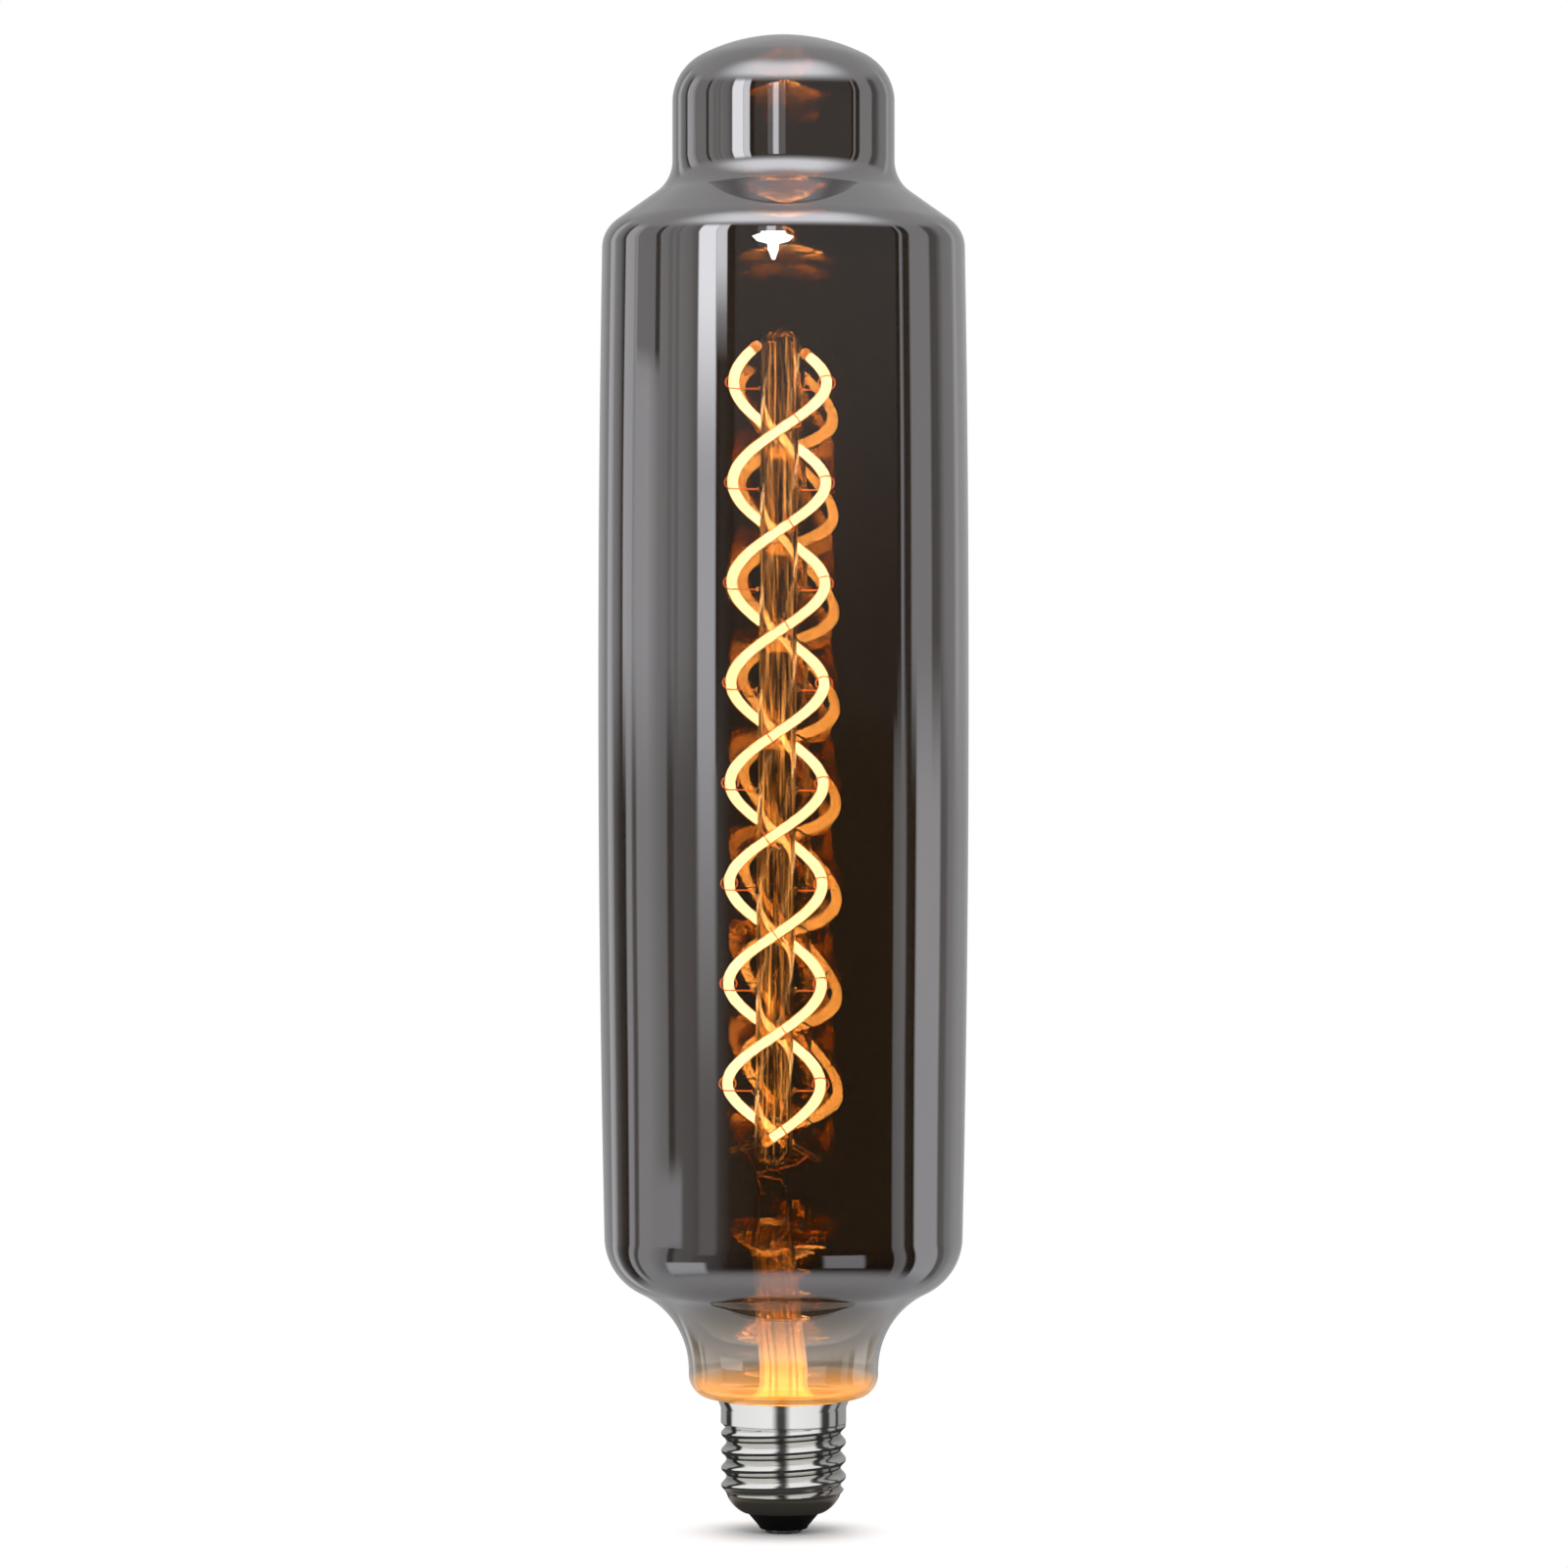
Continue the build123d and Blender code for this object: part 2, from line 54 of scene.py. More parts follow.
# %% [markdown]
# ## Millimetres, and meshes from rings
#
# The solids are in metres. Lamp drawings are in millimetres, so every size below is written in
# millimetres and turned once, where a mesh is made. Most pieces are turned or drawn, so they can
# be built as rings of points that are joined to their neighbours. A ring is better here than a
# lathe modifier, because the screw thread's rings aren't round.

# %% Pieces, and faces between rings
MM = 0.001
SHARP = radians(40)


def mesh_piece(name, points, faces):
    """A smooth-shaded piece that rides on the lamp. Points are in millimetres."""
    mesh = bpy.data.meshes.new(name)
    mesh.from_pydata([Vector(p) * MM for p in points], [], faces)
    mesh.validate()
    mesh.shade_smooth()
    mesh.set_sharp_from_angle(angle=SHARP)
    piece = bpy.data.objects.new(name, mesh)
    scene.collection.objects.link(piece)
    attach(piece, "root")
    print(name, "faces:", len(mesh.polygons))
    return piece


def skin(rings, close_along=False):
    """Faces between rings of equal length. A ring of one point closes an end."""
    points = [p for ring in rings for p in ring]
    starts = [0]
    for ring in rings:
        starts.append(starts[-1] + len(ring))
    faces = []
    last = len(rings) if close_along else len(rings) - 1
    for i in range(last):
        low, high = rings[i], rings[(i + 1) % len(rings)]
        a, b = starts[i], starts[(i + 1) % len(rings)]
        count = max(len(low), len(high))
        for k in range(count):
            n = (k + 1) % count
            if len(low) == 1:
                faces.append((a, b + n, b + k))
            elif len(high) == 1:
                faces.append((a + k, a + n, b))
            else:
                faces.append((a + k, a + n, b + n, b + k))
    return points, faces


# %% Rings and arcs


def lathe_ring(radius, z, around):
    """A level circle of points, or one point where it closes on the axis."""
    if radius < 1e-6:
        return [(0, 0, z)]
    step = 2 * pi / around
    return [(radius * cos(k * step), radius * sin(k * step), z) for k in range(around)]


def polar(centre, radius, angle):
    """A place on a circle, at an angle in degrees."""
    return (centre[0] + radius * cos(radians(angle)), centre[1] + radius * sin(radians(angle)))


def arc(centre, radius, start, end, step=3.0):
    """Points on an arc in the radius and height plane, a few degrees apart."""
    count = max(2, round(abs(end - start) / step))
    return [polar(centre, radius, start + (end - start) * i / count) for i in range(count + 1)]


def arc_through(a, b, c, count):
    """Points on the circle through three places."""
    ax, ay, bx, by, cx, cy = *a, *b, *c
    d = 2 * (ax * (by - cy) + bx * (cy - ay) + cx * (ay - by))
    squares = [x * x + y * y for x, y in (a, b, c)]
    ux = (squares[0] * (by - cy) + squares[1] * (cy - ay) + squares[2] * (ay - by)) / d
    uy = (squares[0] * (cx - bx) + squares[1] * (ax - cx) + squares[2] * (bx - ax)) / d
    start, end = (degrees(atan2(y - uy, x - ux)) for x, y in (a, c))
    end -= 360 * round((end - start) / 360)
    radius = hypot(ax - ux, ay - uy)
    return arc((ux, uy), radius, start, end, abs(end - start) / count)


# %% [markdown]
# ## The blown envelope
#
# The tube is one blown piece, 1 mm thick: a dome on a short neck, a cove, a shoulder, a body
# that bellies out a little, a rounded foot and a bowl over the cap. A mirror shows every facet,
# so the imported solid, fine as it is, is swapped for rings spaced a few degrees apart. Arcs that
# meet on one tangent keep the reflections flowing without kinks, as in real blown glass. The
# inner wall is the same outline moved in by the wall's thickness.

# %% Envelope sizes, in millimetres
OVERALL_HEIGHT = 315.0
GLASS_WALL = 1.0
CROWN_RADIUS = 38.0
DOME_RADIUS = 23.4
DOME_KNUCKLE = 11.0
COVE_RADIUS, COVE_Z = 8.4, 288.7
SHOULDER_SLOPE = 35.5
SHOULDER_KNUCKLE = 7.0
BODY_TOP, BODY_BELLY, BODY_BOTTOM = 38.2, 38.98, 37.7
FOOT_BULGE = 13.0
FOOT_COVE, FOOT_COVE_Z = 18.0, 34.2
BOWL_RADIUS = 19.95
HEEL_RADIUS, HEEL_LOW_Z = 5.0, 28.3
COLLAR_RADIUS, COLLAR_FILLET, COLLAR_END_Z = 12.0, 1.0, 25.5
BELLY_ROWS = 48
AROUND_GLASS = 224
print("glass across at its widest, mm:", 2 * BODY_BELLY, "wall:", GLASS_WALL)

# %% Envelope outline


def envelope_outline(inset):
    """Half outline from crown to collar, moved in by inset."""
    crown = (0.0, OVERALL_HEIGHT - CROWN_RADIUS)
    knuckle_x = DOME_RADIUS - DOME_KNUCKLE
    knuckle = (knuckle_x, crown[1] + sqrt((CROWN_RADIUS - DOME_KNUCKLE) ** 2 - knuckle_x**2))
    knuckle_angle = degrees(atan2(knuckle[1] - crown[1], knuckle[0]))

    cove = (DOME_RADIUS + COVE_RADIUS, COVE_Z)
    normal = 90.0 - SHOULDER_SLOPE
    shoulder_x = BODY_TOP - SHOULDER_KNUCKLE
    drop = COVE_RADIUS + SHOULDER_KNUCKLE + (shoulder_x - cove[0]) * cos(radians(normal))
    shoulder = (shoulder_x, COVE_Z - drop / sin(radians(normal)))

    foot_cove = (BOWL_RADIUS + FOOT_COVE, FOOT_COVE_Z)
    bulge_x = BODY_BOTTOM - FOOT_BULGE
    reach = FOOT_BULGE + FOOT_COVE
    bulge = (bulge_x, FOOT_COVE_Z + sqrt(reach**2 - (foot_cove[0] - bulge_x) ** 2))
    turn = degrees(atan2(foot_cove[1] - bulge[1], foot_cove[0] - bulge[0]))

    heel = (BOWL_RADIUS - HEEL_RADIUS, HEEL_LOW_Z + HEEL_RADIUS)
    fillet = (COLLAR_RADIUS + COLLAR_FILLET, HEEL_LOW_Z - COLLAR_FILLET)
    belly = arc_through(
        (BODY_TOP - inset, shoulder[1]),
        (BODY_BELLY - inset, (shoulder[1] + bulge[1]) / 2),
        (BODY_BOTTOM - inset, bulge[1]),
        BELLY_ROWS,
    )
    return [
        *arc(crown, CROWN_RADIUS - inset, 90.0, knuckle_angle, 2.0),
        *arc(knuckle, DOME_KNUCKLE - inset, knuckle_angle, 0.0),
        *arc(cove, COVE_RADIUS + inset, 180.0, 180.0 + normal),
        *arc(shoulder, SHOULDER_KNUCKLE - inset, normal, 0.0),
        *belly,
        *arc(bulge, FOOT_BULGE - inset, 0.0, turn),
        *arc(foot_cove, FOOT_COVE + inset, 180.0 + turn, 180.0),
        *arc(heel, HEEL_RADIUS - inset, 0.0, -90.0, 6.0),
        *arc(fillet, COLLAR_FILLET + inset, 90.0, 180.0, 10.0),
        (COLLAR_RADIUS - inset, COLLAR_END_Z),
    ]


def spaced(outline, least=0.05):
    """Drops points that lie on the one before, where two arcs meet."""
    kept = [outline[0]]
    for point in outline[1:]:
        if hypot(point[0] - kept[-1][0], point[1] - kept[-1][1]) > least:
            kept.append(point)
    return kept


outer_wall = spaced(envelope_outline(0.0))
inner_wall = spaced(envelope_outline(GLASS_WALL))
print("points of the outer wall:", len(outer_wall), "of the inner wall:", len(inner_wall))

# %% Envelope mesh
outline = [*outer_wall, *reversed(inner_wall)]
glass_rings = [lathe_ring(max(r, 0.0), z, AROUND_GLASS) for r, z in outline]
points, faces = skin(glass_rings)
envelope = mesh_piece("smoked_envelope", points, [tuple(reversed(f)) for f in faces])
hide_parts("glass_envelope")
inner_start = len(outer_wall)

# %% [markdown]
# ## The rolled screw cap
#
# The cap is thin brass sheet rolled into a thread and nickel-plated. A rolled thread is soft and
# round: seen from above, each level is a plain circle that is set off the axis, and the circle's
# middle goes round once for each pitch. So a ring at any height has a formula, and the thread
# needs no boolean or screw modifier.

# %% Screw cap sizes, in millimetres
CAP_RIM_Z, CAP_SHEET = 27.9, 0.3
THREAD_CREST, THREAD_ROOT, THREAD_PITCH = 13.15, 12.05, 3.629
THREAD_LOW_Z, LEAD_IN_SLOPE = 8.1, 0.9
SKIRT_RADIUS, SKIRT_LOW_Z, SKIRT_RUNOUT = 13.2, 23.1, 1.3
LIP_FLARE, LIP_FLARE_Z, LIP_LAND = 0.55, 26.3, 0.3
CONE_LOW_Z, CONE_LOW_RADIUS, CONE_BULGE = 4.3, 8.6, 0.35
CAP_SLIP = 0.05
CAP_HOLE_RADIUS = 7.75
SHADING_STEP = 0.2
CONE_ROWS, THREAD_ROWS = 12, 126
AROUND_CAP = 180
print("turns of the thread:", round((SKIRT_LOW_Z - THREAD_LOW_Z) / THREAD_PITCH, 1))

# %% Rolled thread and skirt


def thread_radius(angle, z, inset):
    """Radius of the thread at an angle and height: an off-centre circle, seen from the axis."""
    swing = (THREAD_CREST - THREAD_ROOT) / 2
    round_radius = (THREAD_CREST + THREAD_ROOT) / 2 - inset
    turned = angle - 2 * pi * (z - THREAD_LOW_Z) / THREAD_PITCH
    radius = swing * cos(turned) + sqrt(round_radius**2 - (swing * sin(turned)) ** 2)
    lead_in = THREAD_ROOT - CAP_SLIP - inset + LEAD_IN_SLOPE * (z - THREAD_LOW_Z)
    return min(radius, lead_in)


def cap_row(z, inset):
    """One ring of the thread and the skirt that grows out of it."""
    skirt = SKIRT_RADIUS - inset - max(0.0, SKIRT_LOW_Z - z)
    ring = []
    for k in range(AROUND_CAP):
        angle = 2 * pi * k / AROUND_CAP
        radius = thread_radius(angle, z, inset)
        if z > SKIRT_LOW_Z - SKIRT_RUNOUT:
            radius = max(radius, skirt)
        ring.append((radius * cos(angle), radius * sin(angle), z))
    return ring


# %% Cap from its cone to its rim


def cap_wall(inset):
    """Rings of one face of the sheet, from the hole under the cone up to the rim."""
    top = (THREAD_ROOT - CAP_SLIP - inset, THREAD_LOW_Z)
    foot = (CONE_LOW_RADIUS - inset, CONE_LOW_Z + inset)
    middle = ((top[0] + foot[0]) / 2 + CONE_BULGE, (top[1] + foot[1]) / 2 - CONE_BULGE)
    cone = arc_through(foot, middle, top, CONE_ROWS)
    rings = [lathe_ring(CAP_HOLE_RADIUS, CONE_LOW_Z + inset, AROUND_CAP)]
    rings += [lathe_ring(r, z, AROUND_CAP) for r, z in cone]
    row_height = (SKIRT_LOW_Z - THREAD_LOW_Z) / THREAD_ROWS
    for row in range(1, THREAD_ROWS + 1):
        rings.append(cap_row(THREAD_LOW_Z + row * row_height, inset))
    # Rings close to the skirt's two ends keep its shading upright between them
    radius = SKIRT_RADIUS - inset
    for z in (SKIRT_LOW_Z + SHADING_STEP, LIP_FLARE_Z - SHADING_STEP, LIP_FLARE_Z):
        rings.append(lathe_ring(radius, z, AROUND_CAP))
    rings.append(lathe_ring(radius + LIP_FLARE, CAP_RIM_Z - LIP_LAND, AROUND_CAP))
    rings.append(lathe_ring(radius + LIP_FLARE, CAP_RIM_Z, AROUND_CAP))
    return rings


points, faces = skin(cap_wall(0.0) + cap_wall(CAP_SHEET)[::-1], close_along=True)
cap = mesh_piece("rolled_screw_cap", points, faces)
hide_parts("cap_shell")

# %% [markdown]
# ## The two glowing strands
#
# Each strand is a flexible strip of tiny light-emitting chips in a phosphor-filled silicone
# sleeve, wound as a helix. The solids are plain sweeps with flat ends. Here the tube is built
# again from rings across the helix, so that its ends can be rounded off like moulded silicone, and
# a thinner tube lies inside it for the light. Each point keeps its distance along the strand, for
# the chips. The pillar and the strands lean half a degree to one side, and one matrix holds that.

# %% Strand sizes, in millimetres
STEM_SHIFT, PINCH_TOP_Z, PILLAR_LEAN = -2.2, 71.3, 0.5
COIL_RADIUS, COIL_PITCH, STRAND_RADIUS = 9.8, 42.2, 1.13
FIRST_HOOK_Z, HOOKS, HOOK_STEP = 83.75, 16, 90.0
FIRST_ANGLE = {"a": 90.0, "b": -90.0}
TAIL_LOW = {"a": 24.0, "b": 13.0}
TAIL_HIGH = {"a": 62.0, "b": 64.0}
END_ROUND = 0.8
END_ANGLES = range(0, 90, 15)
SLEEVE_WALL = 0.48
BARE_END = 1.6
ROWS_PER_TURN = 72
AROUND_STRAND = 20
print("strand across, mm:", 2 * STRAND_RADIUS, "wall round its core:", SLEEVE_WALL)

# %% Tube along a leaning helix
lean = Matrix.Translation((STEM_SHIFT, 0, PINCH_TOP_Z)) @ Matrix.Rotation(radians(PILLAR_LEAN), 4, "Y")


def helix_point(strand, turned_by):
    """Place and direction on a strand, at an angle counted from its first hook."""
    angle = radians(FIRST_ANGLE[strand] + turned_by)
    height = FIRST_HOOK_Z + COIL_PITCH * turned_by / 360.0 - PINCH_TOP_Z
    place = Vector((COIL_RADIUS * cos(angle), COIL_RADIUS * sin(angle), height))
    along = Vector((-sin(angle), cos(angle), COIL_PITCH / (2 * pi * COIL_RADIUS))).normalized()
    out = Vector((cos(angle), sin(angle), 0))
    return place, along, out


def strand_tube(strand, inset, shorter=0.0):
    """Rings of a tube with rounded ends, moved in by inset, and their distances along the strand."""
    per_degree = hypot(COIL_RADIUS, COIL_PITCH / (2 * pi)) * radians(1)
    start = -TAIL_LOW[strand] + (inset + shorter) / per_degree
    end = HOOK_STEP * (HOOKS - 1) + TAIL_HIGH[strand] - (inset + shorter) / per_degree
    rounding = (END_ROUND - inset) / per_degree
    rows = round((end - start) / 360 * ROWS_PER_TURN)
    step = (end - start - 2 * rounding) / rows
    cap_steps = [(rounding * (1 - cos(radians(a))), sin(radians(a))) for a in END_ANGLES]
    stations = [(start + at, swell) for at, swell in cap_steps]
    stations += [(start + rounding + step * i, 1.0) for i in range(rows + 1)]
    stations += [(end - at, swell) for at, swell in reversed(cap_steps)]
    rings = []
    for turned_by, swell in stations:
        place, along, out = helix_point(strand, turned_by)
        across = along.cross(out)
        radius = STRAND_RADIUS - inset - (END_ROUND - inset) * (1 - swell)
        ring = []
        for k in range(AROUND_STRAND):
            angle = 2 * pi * k / AROUND_STRAND
            ring.append(lean @ (place + (out * cos(angle) + across * sin(angle)) * radius))
        rings.append(ring)
    first, last = (lean @ helix_point(strand, at)[0] for at in (start, end))
    distances = [at * per_degree for at in (start, *[turned_by for turned_by, _ in stations], end)]
    return [[first], *rings, [last]], distances


# %% Both strands, each with its core
strands, sleeve_faces = {}, {}
for name in FIRST_ANGLE:
    sleeve_rings, sleeve_distances = strand_tube(name, 0.0)
    core_rings, core_distances = strand_tube(name, SLEEVE_WALL, BARE_END)
    points, faces = skin(sleeve_rings)
    core_points, core_faces = skin(core_rings)
    sleeve_faces[name] = len(faces)
    faces += [tuple(i + len(points) for i in face) for face in core_faces]
    strand = mesh_piece(f"light_strand_{name}", points + core_points, faces)
    along = strand.data.attributes.new("along", "FLOAT", "POINT")
    rings = zip(sleeve_rings + core_rings, sleeve_distances + core_distances)
    along.data.foreach_set("value", [distance for ring, distance in rings for point in ring])
    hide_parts(f"filament_{name}")
    strands[name] = strand

# %% [markdown]
# ## Colours and shader nodes
#
# Colours are picked as sRGB hex values, but Cycles works in linear light, so one function turns
# them. A second one adds a shader node with its settings and links. Each finish below is kept
# under the material slot that the frame gives its solids.

# %% Helpers for materials
finishes = {}


def linear(code):
    """Linear colour of an sRGB hex value."""
    parts = [int(code[i : i + 2], 16) / 255 for i in (1, 3, 5)]
    return (*[c / 12.92 if c <= 0.04045 else ((c + 0.055) / 1.055) ** 2.4 for c in parts], 1.0)


def new_material(name):
    """An empty material and its node tree."""
    material = bpy.data.materials.new(name)
    material.use_nodes = True
    material.node_tree.nodes.clear()
    return material, material.node_tree


def add(tree, kind, settings=None, **sockets):
    """Adds a node. A socket takes a constant, or another node's output that it is linked to."""
    node = tree.nodes.new(kind)
    for key, value in (settings or {}).items():
        setattr(node, key, value)
    for key, value in sockets.items():
        socket = node.inputs[int(key[1:])] if key[0] == "_" else node.inputs[key.replace("_", " ")]
        if isinstance(value, bpy.types.NodeSocket):
            tree.links.new(value, socket)
        else:
            socket.default_value = value
    return node


def finished(material, shader):
    """The material, with its shader linked to the output."""
    tree = material.node_tree
    add(tree, "ShaderNodeOutputMaterial", Surface=shader.outputs[0])
    print(material.name, "shader nodes:", len(tree.nodes))
    return material


# %% [markdown]
# ## Patterns in millimetres
#
# Every finish below is procedural. Its patterns start from object coordinates, which are metres
# from the lamp's foot, so a feature's size is given in millimetres and turned into a noise scale.
# A stretch above 1 draws the pattern out along an axis, as drawing or rolling does. Noise keeps
# mostly to the middle of its range, so that part is spread over the values that are wanted.

# %% Grain and relief
NOISE_LOW, NOISE_HIGH = 0.3, 0.7


def grain(tree, size, stretch=(1, 1, 1), low=0.0, high=1.0, detail=2.0):
    """Noise with features about size millimetres across, as numbers from low to high."""
    place = add(tree, "ShaderNodeTexCoord").outputs["Object"]
    drawn = add(tree, "ShaderNodeVectorMath", {"operation": "DIVIDE"}, _0=place, _1=stretch)
    scale = 1 / (size * MM)
    spots = add(tree, "ShaderNodeTexNoise", Vector=drawn.outputs[0], Scale=scale, Detail=detail)
    spread = add(
        tree,
        "ShaderNodeMapRange",
        Value=spots.outputs["Fac"],
        From_Min=NOISE_LOW,
        From_Max=NOISE_HIGH,
        To_Min=low,
        To_Max=high,
    )
    return spread.outputs[0]


def relief(tree, size, depth, stretch=(1, 1, 1), detail=2.0):
    """A normal for bumps that are size millimetres wide and depth millimetres deep."""
    height = grain(tree, size, stretch, detail=detail)
    return add(tree, "ShaderNodeBump", Height=height, Distance=depth * MM, Strength=1.0).outputs[0]


# %% Tones and fades


def two_tones(tree, share, first, second):
    """Colour between two hex values."""
    colours = {"_6": linear(first), "_7": linear(second)}
    return add(tree, "ShaderNodeMix", {"data_type": "RGBA"}, _0=share, **colours).outputs[2]


def rise(tree, length, low, high, at_low=0.0, at_high=1.0):
    """A number that changes softly where a length passes from low to high millimetres."""
    change = add(
        tree,
        "ShaderNodeMapRange",
        {"interpolation_type": "SMOOTHSTEP"},
        Value=length,
        From_Min=low * MM,
        From_Max=high * MM,
        To_Min=at_low,
        To_Max=at_high,
    )
    return change.outputs[0]


def fade_by_height(tree, low, high, at_low=0.0, at_high=1.0):
    """A number that changes softly between two heights."""
    place = add(tree, "ShaderNodeNewGeometry").outputs["Position"]
    height = add(tree, "ShaderNodeSeparateXYZ", _0=place).outputs["Z"]
    return rise(tree, height, low, high, at_low, at_high)


def kept_in_glass(tree, strength):
    """Glow that the eye sees, straight or through glass, but that no metal mirrors."""
    mirrors = add(tree, "ShaderNodeLightPath").outputs["Glossy Depth"]
    seen = add(tree, "ShaderNodeMath", {"operation": "LESS_THAN"}, _0=mirrors, _1=0.5).outputs[0]
    kept = add(tree, "ShaderNodeMath", {"operation": "MULTIPLY"}, _0=strength, _1=seen)
    return kept.outputs[0]


# %% [markdown]
# ## Smoked mirror glass
#
# The envelope is soda-lime glass with a thin metal coat, vapour-deposited until it is half a
# mirror. It reflects about a quarter of the light and lets a tenth through, which is why the
# tube is dark where it faces something dark and still shows the strands. The coat thins out over
# the foot, so the bowl is nearly clear. A Glass and a Glossy shader could be mixed for this, but
# one Principled with full Transmission and a partial Metallic does the same and exports. The coat
# looks browner from the inside and gives the strands their amber ghost images, so the inner wall
# has a material of its own. Blown glass isn't quite even, so a long, shallow wave bends the
# reflections. Strand light runs down inside the wall and comes out at the heel, where the glass
# bends sharply, which a weak amber glow stands for.

# %% Coated glass materials
COAT_FULL_Z, COAT_GONE_Z = 54.0, 28.0
COAT_PATCH, COAT_PATCH_STRETCH, COAT_THIN, COAT_THICK = 30.0, (1, 1, 3), 0.97, 1.03
GLASS_IOR = 1.5
BLOWN_WAVE, BLOWN_DEPTH, BLOWN_STRETCH = 14.0, 0.012, (1, 1, 6)
HEEL_Z = (30.5, 34.5)
HEEL_PAINTED_LIGHT, HEEL_LIGHT, HEEL_GLOW = "#EFBE86", "#FFB45A", 0.3


def coated_glass(name, coat, bare, metal):
    """One wall of the envelope: coated above, bare below, with strand light painted warm at the heel.
    """
    material, tree = new_material(name)
    cover = fade_by_height(tree, COAT_GONE_Z, COAT_FULL_Z)
    uneven = grain(tree, COAT_PATCH, COAT_PATCH_STRETCH, COAT_THIN, COAT_THICK)
    cover = add(tree, "ShaderNodeMath", {"operation": "MULTIPLY"}, _0=cover, _1=uneven).outputs[0]
    # Painted strand light: the bare glass turns warm at the heel
    clear = two_tones(tree, fade_by_height(tree, *HEEL_Z), HEEL_PAINTED_LIGHT, bare)
    colour = add(tree, "ShaderNodeMix", {"data_type": "RGBA"}, _0=cover, _6=clear, _7=linear(coat))
    metallic = add(tree, "ShaderNodeMath", {"operation": "MULTIPLY"}, _0=cover, _1=metal)
    shader = add(
        tree,
        "ShaderNodeBsdfPrincipled",
        Base_Color=colour.outputs[2],
        Metallic=metallic.outputs[0],
        Roughness=0.0,
        IOR=GLASS_IOR,
        Transmission_Weight=1.0,
        Normal=relief(tree, BLOWN_WAVE, BLOWN_DEPTH, BLOWN_STRETCH, 1.0),
        Emission_Color=linear(HEEL_LIGHT),
        Emission_Strength=kept_in_glass(tree, fade_by_height(tree, *HEEL_Z, HEEL_GLOW, 0.0)),
    )
    return finished(material, shader)


outer_coat = coated_glass("smoked_mirror_coat", "#9A9A9E", "#F4F4F2", 0.74)
inner_coat = coated_glass("coat_from_inside", "#DEB064", "#FAF6EE", 0.36)
envelope.data.materials.append(outer_coat)
envelope.data.materials.append(inner_coat)
outer_faces = (inner_start - 1) * AROUND_GLASS
for face in envelope.data.polygons[outer_faces:]:
    face.material_index = 1
print("outer faces:", outer_faces, "inner faces:", len(envelope.data.polygons) - outer_faces)

# %% [markdown]
# ## Clear glass
#
# The stem, the pillar and the pumping tube are drawn glass, fire-polished and clear. Drawing
# leaves faint lines along the tube, a bit under a millimetre apart, and they break the strands'
# images into the long golden glints that the pillar shows. Few light paths find such glints, so a
# glow along the same lines paints them in. The stem's flare stands in the strand light that runs
# down the glass, so that light is painted on it as a warm tint and a glow that dies out upwards,
# and the glass above the foot gets a paler warm tint of painted strand light.

# %% Clear glass
DRAW_LINE, DRAW_DEPTH, DRAW_STRETCH = 0.8, 0.01, (1, 1, 25)
STEM_LIGHT_Z = (34.0, 66.0)
STEM_PAINTED_LIGHT, STEM_GLOW = "#F2C890", 0.8
PILLAR_GLINT_Z = (74.0, 90.0)
PILLAR_GLINT, GLINT_SHARPNESS = 7.0, 7.0


def clear_glass(name, foot, glow):
    """Drawn glass with painted strand light: the given tint and glow in the foot, a paler warm tint
    higher up, and painted glints along its drawing lines.
    """
    material, tree = new_material(name)
    lines = grain(tree, DRAW_LINE, DRAW_STRETCH)
    sharper = {"_0": lines, "_1": GLINT_SHARPNESS}
    glints = add(tree, "ShaderNodeMath", {"operation": "POWER"}, **sharper).outputs[0]
    above = fade_by_height(tree, *PILLAR_GLINT_Z, 0.0, PILLAR_GLINT)
    below = fade_by_height(tree, *STEM_LIGHT_Z, glow, 0.0)
    light = add(tree, "ShaderNodeMath", {"operation": "MULTIPLY_ADD"}, _0=glints, _1=above, _2=below)
    shader = add(
        tree,
        "ShaderNodeBsdfPrincipled",
        # The warm tint above the foot is painted strand light
        Base_Color=two_tones(tree, fade_by_height(tree, *STEM_LIGHT_Z), foot, "#FFF0D6"),
        Roughness=0.0,
        IOR=GLASS_IOR,
        Transmission_Weight=1.0,
        Normal=relief(tree, DRAW_LINE, DRAW_DEPTH, DRAW_STRETCH),
        Emission_Color=linear("#FFBE74"),
        Emission_Strength=kept_in_glass(tree, light.outputs[0]),
    )
    return finished(material, shader)


finishes["clear_glass"] = clear_glass("clear_drawn_glass", "#F6FAF8", 0.0)
stem_glass = clear_glass("stem_glass_in_lamplight", STEM_PAINTED_LIGHT, STEM_GLOW)

# %% [markdown]
# ## Lit silicone
#
# A strand is a row of blue chips under phosphor-filled silicone. The phosphor near the chips is
# so bright that it looks nearly white, and the silicone over it glows orange and bends the light,
# which gives each strand its warm rim. So the piece is two tubes: a glowing core, and a slightly
# cloudy sleeve round it. The core's light dips a little between chips, 1.4 mm apart. The sleeve's
# ends hold no chips and stay orange.

# %% Strand materials
CORE_GLOW = 36.0
CHIP_STEP, BETWEEN_CHIPS, OVER_CHIPS = 1.4, 0.85, 1.1
SLEEVE_GLOW, SLEEVE_IOR = 3.0, 1.41


def glowing_core():
    material, tree = new_material("lit_phosphor_core")
    along = add(tree, "ShaderNodeAttribute", {"attribute_name": "along"}).outputs["Fac"]
    turn = add(tree, "ShaderNodeMath", {"operation": "MULTIPLY"}, _0=along, _1=2 * pi / CHIP_STEP)
    beat = add(tree, "ShaderNodeMath", {"operation": "SINE"}, _0=turn.outputs[0])
    strength = add(
        tree,
        "ShaderNodeMapRange",
        Value=beat.outputs[0],
        From_Min=-1.0,
        From_Max=1.0,
        To_Min=BETWEEN_CHIPS * CORE_GLOW,
        To_Max=OVER_CHIPS * CORE_GLOW,
    )
    glow = add(tree, "ShaderNodeEmission", Color=linear("#FFF2EA"), Strength=strength.outputs[0])
    return finished(material, glow)


